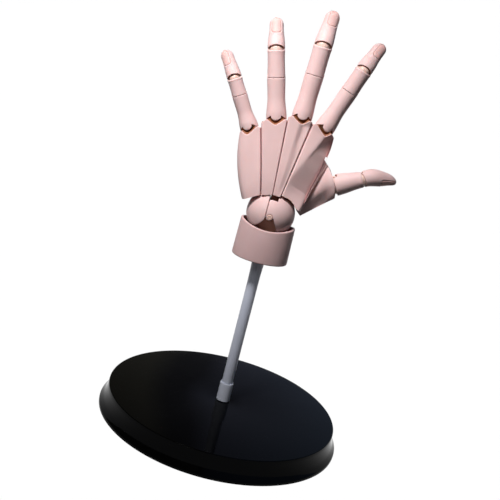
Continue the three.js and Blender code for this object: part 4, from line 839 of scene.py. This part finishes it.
# Knuckle pieces: a short cross barrel on a neck that swings on a pin in each metacarpal, its brown painted
# shade.
# Two trunnions at its sides carry the finger, so it bends as well as spreads; it shows only in the V cuts,
# which lie in shade.
BARREL_EASE = 0.15
BARREL_PROFILE = ((0.38, 0.57), (0.55, 0.53), (0.71, 0.43), (0.79, 0.33))
NECK_LENGTH = 12.1
NECK_RADIUS = 2.45
TRUNNION_RADIUS = 1.0
KNUCKLE_TRUNNION_SINK = 0.9

# The barrel's brown is painted shade, for the dark V cuts where it shows.
knuckle_shade_brown = shade_brown_plastic("knuckle_painted_shade_plastic", (0.46, 0.18, 0.08), (0.54, 0.22, 0.10))


def cross_barrel(name, place, half, ease):
    """A rounded barrel across the finger that leaves ease round it inside the socket."""
    turn = np.arange(64) * 2 * np.pi / 64
    end = half * BARREL_PROFILE[-1][0] - ease
    rows = [place.at(0, -end, 0)[None]]
    for w, r in [(-w, r) for w, r in reversed(BARREL_PROFILE)] + list(BARREL_PROFILE):
        w, r = half * w - math.copysign(ease, w), half * r - ease
        rows.append(place.at(r * np.sin(turn), np.full(64, w), r * np.cos(turn)))
    rows.append(place.at(0, end, 0)[None])
    return lofted(name, rows)


for name, finger in FINGERS.items():
    place = knuckle_place(finger)
    half = finger["halves"][0]
    trunnion = half - KNUCKLE_TRUNNION_SINK
    knuckle = cross_barrel(name + "_knuckle_barrel", place, half, BARREL_EASE)
    carve(knuckle, [
        rod("neck", place.at(-NECK_LENGTH, 0, 0), place.at(-1, 0, 0), NECK_RADIUS, 40),
        rod("trunnions", place.at(0, -trunnion, 0), place.at(0, trunnion, 0), TRUNNION_RADIUS, 24),
    ], "UNION")
    knuckle.data.set_sharp_from_angle(angle=SHARP_EDGE)
    knuckle.data.materials.clear()
    fit(knuckle, name + "_knuckle_ball", name + "_knuckle", "joint_plastic", knuckle_shade_brown)

# Proximal phalanges: the first piece of each finger, a tapering sleeve of pink plastic.
# Its foot has a round lobe between two V cuts at the back and a cheek at each side that hangs on the knuckle.
RIM_SEAM = 0.32
CHEEK_RADIUS = 2.5
MIDDLE_JOINT_CUT = 41
SEAT_WALL = 1.2
FLATNESS = 0.97
WAIST = 0.97
LOBE_SINK = 0.35
LOBE_WALL = 3.2
LOBE_HALF_TURN, LOBE_WALL_TURN, CHEEK_TURN = 29, 33, 110
RIM_EDGE = 0.45


def palm_slant(n, cut):
    """How far a rim is cut back at n below the finger's line, so that the joint can bend."""
    return n / math.tan(math.radians(cut))


def rim_below(n, cheek, cut):
    """Rim of the piece below a hinge: a seam at the back, round cheeks at the sides, a slant at the palm."""
    round_cheek = np.sqrt(np.maximum(0, cheek ** 2 - n ** 2))
    return np.where(n >= cheek, -RIM_SEAM / 2, np.where(n > -cheek, round_cheek, palm_slant(n, cut)))


def phalanx(name, place, skin_at, low, high, spans, columns=120):
    """A finger piece with a rounded rim and a seat at each end, or closed in a tip where high gives one."""
    angle = np.arange(columns) * 2 * np.pi / columns

    def edge_of(end, side):
        s = end["rim"](angle)
        edge = end["edge"]
        rim = np.stack([s, *skin_at(s, angle)], 1)
        outer = np.stack([s + side * edge, *skin_at(s + side * edge, angle)], 1)
        middle = np.array((end["centre"], 0, 0))
        d = rim - middle
        inner = middle + d * (end["seat"] / np.linalg.norm(d, axis=1, keepdims=True))
        rows = round_seat(place, end["centre"], side, rim, end["seat"], 12)
        return s + side * edge, rows, [place.at(*row.T) for row in eased_edge(inner, rim, outer, edge)]

    low_s, low_seat, low_edge = edge_of(low, 1)
    rows = low_seat + low_edge[:-1]
    inside = list(range(len(low_seat)))
    top = high["tip"] if "tip" in high else None
    if top is None:
        high_s, high_seat, high_edge = edge_of(high, -1)
    for t in spans:
        s = low_s + ((high_s if top is None else top) - low_s) * t
        rows.append(place.at(s, *skin_at(s, angle)))
    if top is None:
        rows += high_edge[-2::-1]
        inside += list(range(len(rows) - 1, len(rows) + len(high_seat)))
        rows += high_seat[::-1]
    else:
        w, n = skin_at(np.array([top]), np.array([0.0]))
        rows.append(place.at(np.array([top]), w, n))
    return lofted(name, rows, inside=inside)


def wrapped(angle):
    """The same angle, within half a turn either way."""
    return (angle + np.pi) % (2 * np.pi) - np.pi


def proximal(name, finger):
    """The sleeve of one finger from its knuckle lobe to the middle joint."""
    place = knuckle_place(finger)
    knuckle_half, joint_half = finger["halves"][:2]
    length = finger["lengths"][0]
    lobe = knuckle_half - LOBE_SINK

    def from_lobe(a):
        return np.abs(wrapped(a - math.radians(finger["lobe_turn"]) * (1 + np.cos(a)) / 2))

    def skin_at(s, a):
        lower = knuckle_half + (joint_half * WAIST - knuckle_half) * smooth(s / (length * 0.5))
        upper = joint_half * WAIST + joint_half * (1 - WAIST) * smooth((s - length * 0.55) / (length * 0.4))
        body = np.where(s < length * 0.55, lower, upper)
        w, n = body * np.sin(a), body * FLATNESS * np.cos(a)
        dome = np.sqrt(np.maximum(1, lobe ** 2 - np.minimum(s, 0) ** 2 - (lobe * np.sin(a)) ** 2))
        ease = smooth((s - 0.6) / 5.5)
        share = (1 - ease) * smooth((0.78 - from_lobe(a)) / 0.22)
        return w + (lobe * np.sin(a) - w) * share, n + (dome - n) * share

    def foot(a):
        aside = np.degrees(from_lobe(a))
        lobe_foot = -2.1 + 1.9 * (aside / LOBE_HALF_TURN) ** 2
        wall = -0.2 + 1.8 * (aside - LOBE_HALF_TURN) / (LOBE_WALL_TURN - LOBE_HALF_TURN)
        cheek_turns = [LOBE_WALL_TURN, 57, 76, 98, 104, CHEEK_TURN]
        cheek = np.interp(aside, cheek_turns, [1.6, -0.5, -1.7, -1.9, -1.5, -1.4])
        palm = knuckle_half * np.abs(np.cos(a)) / math.tan(KNUCKLE_CUT) + 0.4
        turns = [aside < LOBE_HALF_TURN, aside < LOBE_WALL_TURN, aside < CHEEK_TURN]
        return np.select(turns, [lobe_foot, wall, cheek], palm)

    low = {"rim": foot, "centre": 0, "seat": knuckle_half - LOBE_WALL, "edge": RIM_EDGE}
    high = {
        "rim": lambda a: length + rim_below(joint_half * np.cos(a), CHEEK_RADIUS, MIDDLE_JOINT_CUT),
        "centre": length, "seat": joint_half - SEAT_WALL, "edge": RIM_EDGE,
    }
    spans = np.concatenate([np.linspace(0, 0.3, 26), np.linspace(0.3, 1, 30)[1:]])
    return phalanx(name + "_proximal_sleeve", place, skin_at, low, high, spans, columns=180)


for name, finger in FINGERS.items():
    piece = proximal(name, finger)
    room = cross_barrel("barrel_room", knuckle_place(finger), finger["halves"][0], -BARREL_EASE)
    for solid in (piece, room):
        solid.data.materials.append(skin)
        solid.data.materials.append(socket_shade_brown)
    # The faces cut by the barrel's room take the dark brown of painted shade.
    room.data.polygons.foreach_set("material_index", [1] * len(room.data.polygons))
    carve(piece, [room])
    piece.data.set_sharp_from_angle(angle=SHARP_EDGE)
    fit(piece, name + "_proximal", name + "_proximal", "hand_plastic")

# Middle phalanges: short plain sleeves between the middle and the end joint of each finger.
# The upper rim has a broad rounded lip that catches the light below the open end joint.
CHEEK_GAP = 0.55
END_CHEEK_RADIUS = 1.0
END_JOINT_CUT = 58
END_SEAT_WALL = 0.95
LIP_BEAD = 0.22
LIP_EDGE = 0.95


def rim_above(a, half, cheek, cut, arch):
    """Rim of the piece above a hinge, clear of the cheeks, arched at the back where the joint shows open."""
    n = half * np.cos(a)
    clear = cheek + CHEEK_GAP
    back = RIM_SEAM / 2 + arch * np.clip(n / half, 0, 1)
    round_cheek = np.sqrt(np.maximum(0, clear ** 2 - n ** 2))
    return np.where(n >= clear, back, np.where(n > -clear, round_cheek, palm_slant(-n, cut)))


def middle_place(finger):
    """The place of a finger's middle joint, along its second piece."""
    return knuckle_place(finger).bent(finger["lengths"][0], 0)


def middle_sleeve(name, finger):
    """The sleeve of one finger between its middle and its end joint, a little waisted."""
    low_half, high_half = finger["halves"][1:3]
    length = finger["lengths"][1]

    def skin_at(s, a):
        waist = 1 - 0.035 * np.sin(np.pi * np.clip(s / length, 0, 1))
        body = (low_half + (high_half - low_half) * s / length) * waist
        body = body + LIP_BEAD * np.exp(-((s - length + 0.9) / 0.6) ** 2)
        return body * np.sin(a), body * FLATNESS * np.cos(a)

    low = {
        "rim": lambda a: rim_above(a, low_half, CHEEK_RADIUS, MIDDLE_JOINT_CUT, 0.0),
        "centre": 0, "seat": low_half - SEAT_WALL, "edge": RIM_EDGE,
    }
    high = {
        "rim": lambda a: length + rim_below(high_half * np.cos(a), END_CHEEK_RADIUS, END_JOINT_CUT),
        "centre": length, "seat": high_half - END_SEAT_WALL, "edge": LIP_EDGE,
    }
    return phalanx(name + "_middle_sleeve", middle_place(finger), skin_at, low, high, np.linspace(0, 1, 24))


for name, finger in FINGERS.items():
    piece = middle_sleeve(name, finger)
    fit(piece, name + "_middle", name + "_middle", "hand_plastic", skin, socket_shade_brown)

# Distal phalanges: the finger ends, tapered and rounded, with the nail moulded in one with the tip.
# The nail is a slightly raised, pinker plate in a fine groove, with a low fold of skin behind it.
END_JOINT_REST = 20
END_JOINT_ARCH = 1.9
NAIL_ROOT, NAIL_TIP = 13.6, 0.9
NAIL_CORNER = 2.6
NAIL_RISE, NAIL_FOLD, NAIL_GROOVE = 0.10, 0.14, 0.30
NAIL_SPAN = 1.9
NAIL_EDGE = math.radians(60)
TIP_EDGE = 0.35
TIP_SPANS = np.concatenate([
    np.linspace(0, 0.3, 14), np.linspace(0.3, 0.9, 84)[1:], 1 - 0.1 * np.linspace(1, 0.02, 18)[1:] ** 1.6,
])


def nail_relief(s, arc, root, tip, half_width):
    """Rise of the skin, share of nail and of the painted shade in the groove round it, from the way along and
    round the finger.
    """
    across = np.abs(arc) - (half_width - NAIL_CORNER)
    along = np.abs(s - (root + tip) / 2) - ((tip - root) / 2 - NAIL_CORNER)
    outside = np.hypot(np.maximum(across, 0), np.maximum(along, 0))
    away = outside + np.minimum(np.maximum(across, along), 0) - NAIL_CORNER
    line = np.exp(-((away - 0.1) / 0.36) ** 2)
    plate = NAIL_RISE * smooth(-away / 0.6)
    fold = NAIL_FOLD * np.exp(-((away - 1.05) / 0.6) ** 2)
    return plate + fold - NAIL_GROOVE * line, smooth(0.5 - away / 0.35), line


def finger_end(name, place, low, length, nail, nail_turn, nail_radius, rounding, swell, bow, flat):
    """A finger end closed in a round tip, its nail moulded in and marked on its points for the colour.

    At a share of the length, swell is the half width, bow the shift aside and down, flat the flatness of the
    back and of the palm side. The tip rounds off from the share called rounding.
    """

    def skin_at(s, a):
        t = np.clip(s / length, 0, 1)
        close = np.sqrt(np.maximum(0, 1 - np.maximum(0, (t - rounding) / (1 - rounding)) ** 2))
        turn = wrapped(a - nail_turn)
        rise = nail_relief(s, turn * nail_radius, **nail)[0]
        reach = swell(t) * close + rise * smooth(close / 0.5) * (np.abs(turn) < NAIL_SPAN)
        (aside, down), (back, palm) = bow(t), flat(t)
        return reach * np.sin(a) + aside, reach * np.where(np.cos(a) > 0, back, palm) * np.cos(a) - down

    piece = phalanx(name, place, skin_at, low, {"tip": length}, TIP_SPANS, columns=200)
    points = np.zeros(len(piece.data.vertices) * 3)
    piece.data.vertices.foreach_get("co", points)
    s, w, n = place.local(points.reshape(-1, 3) / MM).T
    t = np.clip(s / length, 0, 1)
    aside, down = bow(t)
    n = n + down
    turn = wrapped(np.arctan2(w - aside, n / np.where(n > 0, flat(t)[0], 1)) - nail_turn)
    shares = nail_relief(s, turn * nail_radius, **nail)[1:]
    for title, share in zip(("nail", "nail_groove_shade"), shares):
        share = share * (np.abs(turn) < NAIL_SPAN) * (s > nail["root"] - 2)
        mark = piece.data.attributes.new(title, "FLOAT", "POINT")
        mark.data.foreach_set("value", share.astype(np.float32))
    piece.data.set_sharp_from_angle(angle=NAIL_EDGE)
    return piece


def end_place(finger):
    """The place of a finger's end joint, along its end."""
    return middle_place(finger).bent(finger["lengths"][1], END_JOINT_REST)


def distal(name, finger):
    """The end of one finger, its tip drifting a little to one side."""
    joint_half, tip_half = finger["halves"][2:]
    length = finger["lengths"][2]
    low = {
        "rim": lambda a: rim_above(a, joint_half, END_CHEEK_RADIUS, END_JOINT_CUT, END_JOINT_ARCH),
        "centre": 0, "seat": joint_half - END_SEAT_WALL, "edge": TIP_EDGE,
    }
    return finger_end(
        name + "_distal_tip", end_place(finger), low, length,
        nail={"root": length - NAIL_ROOT, "tip": length - NAIL_TIP, "half_width": 0.66 * tip_half + 0.35},
        nail_turn=math.radians(finger["nail_turn"]), nail_radius=tip_half, rounding=0.76,
        swell=lambda t: joint_half + (tip_half - joint_half) * smooth((t - 0.1) / 0.6),
        bow=lambda t: (finger["drift"] * t ** 1.5, 0.5 * t * t),
        flat=lambda t: (FLATNESS - 0.13 * t, FLATNESS + 0.05 * t),
    )


for name, finger in FINGERS.items():
    piece = distal(name, finger)
    fit(piece, name + "_distal", name + "_distal", "hand_plastic", skin, socket_shade_brown)

# Finger barrels: peach plastic balls with side trunnions and a stem, the hinges inside the finger joints.
# The end joints rest slightly bent, so there the barrel shows as a dome with a small moulding mark.
BARREL_PLAY = 0.4
TRUNNION_SINK = 0.75
END_BARREL_SINK = 1.6
STEM_RADIUS = 1.5
STEM_REACH, END_STEM_REACH = 3.85, 3.15
STEM_ROOM = 0.45
END_MARK_TILT = -0.1


def barrel(name, place, radius, trunnion, stem, mark):
    """A hinge ball with a stem along the next piece and a small dimple at the back, tilted by mark."""
    turn = np.arange(72) * 2 * np.pi / 72
    rows = [place.at(-radius, 0, 0)[None]]
    neck = math.asin((STEM_RADIUS + 0.1) / radius)
    for tilt in np.linspace(0, np.pi - neck, 45)[1:]:
        s = -radius * math.cos(tilt)
        r = radius * math.sin(tilt)
        w, n = r * np.sin(turn), r * np.cos(turn)
        gap = np.hypot(np.hypot(w, s - radius * math.sin(mark)), n - radius * math.cos(mark))
        dent = 1 - 0.05 * np.exp(-(gap / 0.45) ** 2)
        rows.append(place.at(s * dent, w * dent, n * dent))
    for s, r in ((stem - 0.3, STEM_RADIUS), (stem, STEM_RADIUS - 0.3)):
        rows.append(place.at(np.full(72, s), r * np.sin(turn), r * np.cos(turn)))
    rows.append(place.at(stem, 0, 0)[None])
    piece = lofted(name, rows)
    ends = [place.at(0, side * trunnion, 0) for side in (-1, 1)]
    carve(piece, [rod("trunnions", *ends, TRUNNION_RADIUS, 24)], "UNION")
    piece.data.materials.clear()
    return piece


for name, finger in FINGERS.items():
    middle_half, end_half = finger["halves"][1:3]
    stem = min(middle_half + STEM_REACH, finger["lengths"][1] - end_half + STEM_ROOM) - BARREL_PLAY
    radius = middle_half - SEAT_WALL - BARREL_PLAY
    trunnion = middle_half - TRUNNION_SINK
    hinge = barrel(name + "_middle_joint_barrel", middle_place(finger), radius, trunnion, stem, 0.0)
    fit(hinge, name + "_pip_barrel", name + "_middle", "joint_plastic", peach)
    stem = end_half + END_STEM_REACH
    radius = end_half - END_BARREL_SINK
    trunnion = end_half - TRUNNION_SINK
    hinge = barrel(name + "_end_joint_barrel", end_place(finger), radius, trunnion, stem, END_MARK_TILT)
    fit(hinge, name + "_dip_barrel", name + "_distal", "joint_plastic", peach)

# Thumb base: the broad bulging piece at the root of the thumb, moulded in the pink plastic.
# It comes out from behind the index plate, turns on a steel axle there and carries the thumb at its wide end.
THUMB_DEPTH = 3.2
THUMB_JOINT = (43.6, THUMB_DEPTH, 216.6)
THUMB_ANGLE = 63.4
THUMB_ROLL = 20
THUMB_BASE_HALF = 8.6
THUMB_BASE_CUT = 56
THUMB_BASE_WALL = 1.4
THENAR_WRIST_LEFT, THENAR_WRIST_RIGHT = np.array((14.5, 0.0, 194.5)), np.array((23.2, 0.0, 185.5))
THENAR_END_LEFT, THENAR_END_RIGHT = np.array((28.4, 0.0, 235.2)), np.array((45.9, 0.0, 206.5))
THENAR_WRIST_DEPTH = 5.2
THENAR_EDGE = 0.9
THENAR_TURN_RADIUS = 4.9
LUG_PLAY = 0.5
LUG_ROOM_RADIUS = LUG_RADIUS + 0.6
INDEX_GAP = 0.9
INDEX_ROOM_FRONT = 0.8
WRIST_ROOM_RADIUS = BALL_RADIUS + 1.5

thumb_place = leaning(THUMB_JOINT, THUMB_ANGLE).rolled(THUMB_ROLL)
thumb_seat = THUMB_BASE_HALF - THUMB_BASE_WALL


def thumb_base():
    """The thumb base from its wrist end to the rim round the thumb's seat, before it is cut clear."""
    turn = np.arange(160) * 2 * np.pi / 160
    across = np.sign(np.sin(turn)) * np.abs(np.sin(turn)) ** 0.8
    deep = np.sign(np.cos(turn)) * np.abs(np.cos(turn)) ** 0.8

    def ring(t):
        t = np.broadcast_to(t, turn.shape)[:, None]
        left = THENAR_WRIST_LEFT * (1 - t) + THENAR_END_LEFT * t
        right = THENAR_WRIST_RIGHT * (1 - t) + THENAR_END_RIGHT * t
        points = (left + right) / 2 + (right - left) / 2 * across[:, None]
        t = t[:, 0]
        points = points + thumb_place.along * (3.4 * t * t * (1 - across ** 2))[:, None]
        half_depth = 7.4 + 2.8 * smooth(t)
        thin = np.where(across < 0.3, 1 - 1.6 * ((across - 0.3) / 1.3) ** 2, 1)
        slant = np.where(deep > 0, np.maximum(0, 3.4 + 6 * across), 0)
        slant = slant * (0.65 + 0.35 * smooth(t / 0.6)) * smooth((1 - t) / 0.3)
        middle = THENAR_WRIST_DEPTH + (THUMB_DEPTH - THENAR_WRIST_DEPTH) * t
        points[:, 1] = middle - deep * (half_depth * thin - slant)
        return points

    rim = thumb_place.local(ring(1.0))
    hinged = np.abs(rim[:, 1]) < THUMB_BASE_HALF + 1
    limit = np.where(hinged, rim_below(rim[:, 2], CHEEK_RADIUS, THUMB_BASE_CUT), 1.6)
    rim[:, 0] = np.minimum(rim[:, 0], limit)
    inner = rim * (thumb_seat / np.linalg.norm(rim, axis=1, keepdims=True))
    near = thumb_place.local(ring(0.95))
    near[:, 0] = np.minimum(near[:, 0], rim[:, 0] - 0.4)
    slope = (near - rim) / np.linalg.norm(near - rim, axis=1, keepdims=True)
    edge = eased_edge(inner, rim, rim + slope * THENAR_EDGE, THENAR_EDGE)
    rows = [ring(0.0).mean(0)[None]] + [ring(t) for t in np.linspace(0, 0.9, 40)]
    rows += [thumb_place.at(*row.T) for row in reversed(edge)]
    inner_from = len(rows)
    rows += round_seat(thumb_place, 0, -1, rim, thumb_seat, 12)[::-1]
    return lofted("thumb_base_moulded", rows, inside=range(inner_from, len(rows)))


def behind_index():
    """The outline of the room that the index plate takes, along the plate's free edge."""
    index = FINGERS["index"]
    end = knuckle_place(index).at(PLATE_END, index["reach"][1], 0)
    foot_x, foot_z = index["wrist_right"]
    edge = []
    for t in np.linspace(0, 1, 25):
        bow = index_bow(t) - index["seams"][1] / 2
        edge.append((foot_x * (1 - t) + end[0] * t + bow + INDEX_GAP, foot_z * (1 - t) + end[2] * t))
    return [(-30, 160), (edge[0][0] - 3, 160), *edge, (-30, 262)]


thenar = thumb_base()
thenar.data.materials.append(skin)
thenar.data.materials.append(socket_shade_brown)
turn_room = beside_axle("turn_room", -BEYOND, 2 * BEYOND, -BEYOND, 0, -BEYOND, BEYOND)
carve(turn_room, [rod("turn", on_axle(-BEYOND - 1), on_axle(2 * BEYOND + 1), THENAR_TURN_RADIUS, 72)])
lug_low, lug_high = LUG_FROM - LUG_PLAY, LUG_TO + LUG_PLAY
carve(thenar, [
    turn_room,
    slab("under_index", behind_index(), -BEYOND, INDEX_ROOM_FRONT),
    rod("lug_room", on_axle(lug_low), on_axle(lug_high), LUG_ROOM_RADIUS, 40),
    beside_axle("lug_side", lug_low, lug_high, -20, 0.5, -20, 20),
    sphere("wrist_room", BALL_CENTRE, WRIST_ROOM_RADIUS, 120, 60),
])
# The hollow round the wrist ball takes the painted shade.
paint_hollow_shade(thenar, BALL_CENTRE, WRIST_ROOM_RADIUS)
thenar.data.set_sharp_from_angle(angle=SHARP_EDGE)
fit(thenar, "thumb_base", "thumb_base", "hand_plastic")

# Thumb phalanges and barrels: a short sleeve and a curved end with its nail, hinged like the fingers.
# The thumb is turned on its own line, so its nail looks away from the back of the hand.
THUMB_LENGTH, THUMB_TIP_LENGTH = 21.6, 26.4
THUMB_JOINT_HALF, THUMB_BULB_HALF, THUMB_TIP_HALF = 6.4, 7.2, 5.0
THUMB_END_REST = 12
THUMB_END_CUT = 54
THUMB_END_ARCH = 1.0
THUMB_LIP_EDGE = 0.8
THUMB_TIP_EDGE = 0.4
THUMB_CURVE = 10.8
THUMB_NAIL_TURN = math.radians(38)
THUMB_NAIL_ROOT, THUMB_NAIL_TIP = 13.5, 0.8
THUMB_NAIL_HALF = 4.2
THUMB_STEM_REACH, THUMB_END_STEM_REACH = 3.4, 3.1
THUMB_END_PLAY = 0.3

thumb_end = thumb_place.bent(THUMB_LENGTH, THUMB_END_REST)
thumb_end_seat = THUMB_JOINT_HALF - TRUNNION_SINK


def thumb_sleeve():
    """The thumb's first piece, from its seat in the thumb base to the end joint."""
    low_half, high_half = THUMB_BASE_HALF, THUMB_JOINT_HALF

    def skin_at(s, a):
        body = low_half + (high_half - low_half) * smooth(s / THUMB_LENGTH)
        return body * np.sin(a), body * np.cos(a)

    low = {
        "rim": lambda a: rim_above(a, low_half, CHEEK_RADIUS, THUMB_BASE_CUT, 0.0),
        "centre": 0, "seat": thumb_seat, "edge": RIM_EDGE,
    }
    high = {
        "rim": lambda a: THUMB_LENGTH + rim_below(high_half * np.cos(a), END_CHEEK_RADIUS, THUMB_END_CUT),
        "centre": THUMB_LENGTH, "seat": thumb_end_seat, "edge": THUMB_LIP_EDGE,
    }
    return phalanx("thumb_proximal_sleeve", thumb_place, skin_at, low, high, np.linspace(0, 1, 24))


def thumb_swell(t):
    """Half width of the thumb's end, which swells to a bulb and tapers to the tip."""
    to_bulb = THUMB_JOINT_HALF + (THUMB_BULB_HALF - THUMB_JOINT_HALF) * smooth(t / 0.4)
    to_tip = THUMB_BULB_HALF + (THUMB_TIP_HALF - THUMB_BULB_HALF) * smooth((t - 0.4) / 0.5)
    return np.where(t < 0.4, to_bulb, to_tip)


def thumb_tip():
    """The thumb's end, bowed to one side."""
    joint_half, length = THUMB_JOINT_HALF, THUMB_TIP_LENGTH
    low = {
        "rim": lambda a: rim_above(a, joint_half, END_CHEEK_RADIUS, THUMB_END_CUT, THUMB_END_ARCH),
        "centre": 0, "seat": thumb_end_seat, "edge": THUMB_TIP_EDGE,
    }
    return finger_end(
        "thumb_distal_tip", thumb_end, low, length,
        nail={
            "root": length - THUMB_NAIL_ROOT, "tip": length - THUMB_NAIL_TIP, "half_width": THUMB_NAIL_HALF,
        },
        nail_turn=THUMB_NAIL_TURN, nail_radius=THUMB_TIP_HALF * 1.15, rounding=0.78,
        swell=thumb_swell,
        bow=lambda t: (THUMB_CURVE * t ** 1.7, 0),
        flat=lambda t: (1 - 0.22 * t, 1),
    )


fit(thumb_sleeve(), "thumb_proximal", "thumb_proximal", "hand_plastic", skin, socket_shade_brown)
fit(thumb_tip(), "thumb_distal", "thumb_distal", "hand_plastic", skin, socket_shade_brown)
stem, trunnion = thumb_seat + THUMB_STEM_REACH, THUMB_BASE_HALF - TRUNNION_SINK
hinge = barrel("thumb_base_barrel", thumb_place, thumb_seat - BARREL_PLAY, trunnion, stem, 0.0)
fit(hinge, "thumb_mcp_barrel", "thumb_proximal", "joint_plastic", peach)
stem, trunnion = THUMB_JOINT_HALF + THUMB_END_STEM_REACH, THUMB_JOINT_HALF - TRUNNION_SINK
hinge = barrel("thumb_end_barrel", thumb_end, thumb_end_seat - THUMB_END_PLAY, trunnion, stem, 0.0)
fit(hinge, "thumb_ip_barrel", "thumb_distal", "joint_plastic", peach)

# Studio: a pale floor that runs up into a pale backdrop, dark cloths out of the picture and soft lamps.
# The key lamp stands high at the front left, close enough to light the fingers more than the cuff.
FLOOR_PROFILE = ((0, 0), (300, 0), (900, 0), (1500, 0), (1900, 15), (2200, 70), (2400, 170), (2500, 300),
                 (2540, 460), (2550, 640))
TENT_PROFILE = ((2560, 660), (2560, 1500), (2300, 2400), (1500, 3000), (0, 3100))
PAPER_SHADE = (0.34, 0.34, 0.34, 1)
PAPER_CLEAR = 0.95
CLOTH_LEFT, CLOTH_RIGHT = -1.1, 1.3
CLOTH_GLOW = 0.48
AIR_GLOW, WHITE_GLOW = 0.03, 1.06


def seen_rays(nodes, links):
    """A value that is 1 for the rays of the camera, mirrors and glass, and 0 for the light on the part."""
    path = nodes.new("ShaderNodeLightPath")
    value = path.outputs["Is Camera Ray"]
    for kind in ("Is Glossy Ray", "Is Transmission Ray"):
        either = nodes.new("ShaderNodeMath")
        either.operation = "MAXIMUM"
        links.new(value, either.inputs[0])
        links.new(path.outputs[kind], either.inputs[1])
        value = either.outputs[0]
    return value


paper = Finish("white_paper")
share = paper.nodes.new("ShaderNodeMath")
share.operation = "MULTIPLY"
share.inputs[1].default_value = PAPER_CLEAR
paper.links.new(seen_rays(paper.nodes, paper.links), share.inputs[0])
matt = paper.nodes.new("ShaderNodeBsdfDiffuse")
matt.inputs["Color"].default_value = PAPER_SHADE
clear = paper.nodes.new("ShaderNodeBsdfTransparent")
both = paper.nodes.new("ShaderNodeMixShader")
paper.links.new(share.outputs[0], both.inputs[0])
paper.links.new(matt.outputs[0], both.inputs[1])
paper.links.new(clear.outputs[0], both.inputs[2])
paper.take_shader(both)
sweep = lofted("studio_floor", [level_ring(r, z, 96) for r, z in FLOOR_PROFILE])
sweep.data.materials.append(paper.material)

cloth = Finish("dark_cloth")
split = cloth.nodes.new("ShaderNodeSeparateXYZ")
cloth.links.new(cloth.place.outputs["Object"], split.inputs[0])
tone = cloth.shades(
    cloth.between(split.outputs["X"], 0.0, 1.0, CLOTH_LEFT, CLOTH_RIGHT),
    (0.0, (0.333, 0.312, 0.229)), (0.30, (0.542, 0.521, 0.417)), (0.36, (0.229, 0.229, 0.25)),
    (0.41, (0.229, 0.229, 0.271)), (0.46, (0.562, 0.604, 0.833)), (0.7, (0.646, 0.833, 1.208)),
    (1.0, (0.708, 0.938, 1.417)),
)
glow = cloth.nodes.new("ShaderNodeEmission")
glow.inputs["Strength"].default_value = CLOTH_GLOW
cloth.links.new(tone, glow.inputs["Color"])
cloth.take_shader(glow)
tent = lofted("studio_dark_cloth", [level_ring(r, z, 96) for r, z in TENT_PROFILE])
tent.data.materials.append(cloth.material)
tent.visible_camera = False
tent.visible_diffuse = False

world = bpy.data.worlds.new("studio_air")
scene.world = world
world.use_nodes = True
nodes, links = world.node_tree.nodes, world.node_tree.links
level = nodes.new("ShaderNodeMapRange")
level.inputs["To Min"].default_value = AIR_GLOW
level.inputs["To Max"].default_value = WHITE_GLOW
links.new(seen_rays(nodes, links), level.inputs["Value"])
links.new(level.outputs["Result"], nodes["Background"].inputs["Strength"])
nodes["Background"].inputs["Color"].default_value = (1, 1, 1, 1)


def lamp(name, place, aim, width, power, colour, beam=180):
    """A soft round lamp that looks at a point of the hand; a grid can narrow its beam."""
    light = bpy.data.lights.new(name, "AREA")
    light.shape = "DISK"
    light.size = width * MM
    light.energy = power
    light.color = colour
    light.spread = math.radians(beam)
    stand = bpy.data.objects.new(name, light)
    stand.location = Vector(place) * MM
    stand.rotation_euler = (Vector(aim) - Vector(place)).to_track_quat("-Z", "Y").to_euler()
    scene.collection.objects.link(stand)


lamp("key_lamp", (-198, -282, 676), (-8, 0, 262), 130, 0.21, (1.0, 0.975, 0.955), beam=36)
lamp("near_fill", (-170, -320, 430), (0, 0, 285), 140, 0.19, (1.0, 0.98, 0.97))

# Camera: stands 650 mm in front of the post, looks down a little and is held turned, as the picture shows.
# Its turns and focal length are fitted to the outline of the base and to the post in the picture.
CAMERA_PLACE = Vector((0.0, -0.650, 0.3145))
CAMERA_YAW, CAMERA_PITCH, CAMERA_ROLL = -0.01335, 0.24878, 0.24861
FOCAL_PIXELS = 836.4
PHOTO_WIDTH = 500
SENSOR_WIDTH = 36.0

level_reach = math.cos(CAMERA_PITCH)
forward = Vector((
    math.sin(CAMERA_YAW) * level_reach, math.cos(CAMERA_YAW) * level_reach, -math.sin(CAMERA_PITCH),
))
level_right = forward.cross(Vector((0, 0, 1))).normalized()
level_up = level_right.cross(forward)
right = math.cos(CAMERA_ROLL) * level_right + math.sin(CAMERA_ROLL) * level_up
up = math.cos(CAMERA_ROLL) * level_up - math.sin(CAMERA_ROLL) * level_right
lens = bpy.data.cameras.new("photo_camera")
lens.sensor_width = SENSOR_WIDTH
lens.lens = FOCAL_PIXELS / PHOTO_WIDTH * SENSOR_WIDTH
lens.clip_start = 0.01
lens.clip_end = 20.0
camera = bpy.data.objects.new("photo_camera", lens)
camera.matrix_world = Matrix((
    (right.x, up.x, -forward.x, CAMERA_PLACE.x),
    (right.y, up.y, -forward.y, CAMERA_PLACE.y),
    (right.z, up.z, -forward.z, CAMERA_PLACE.z),
    (0, 0, 0, 1),
))
scene.collection.objects.link(camera)
scene.camera = camera
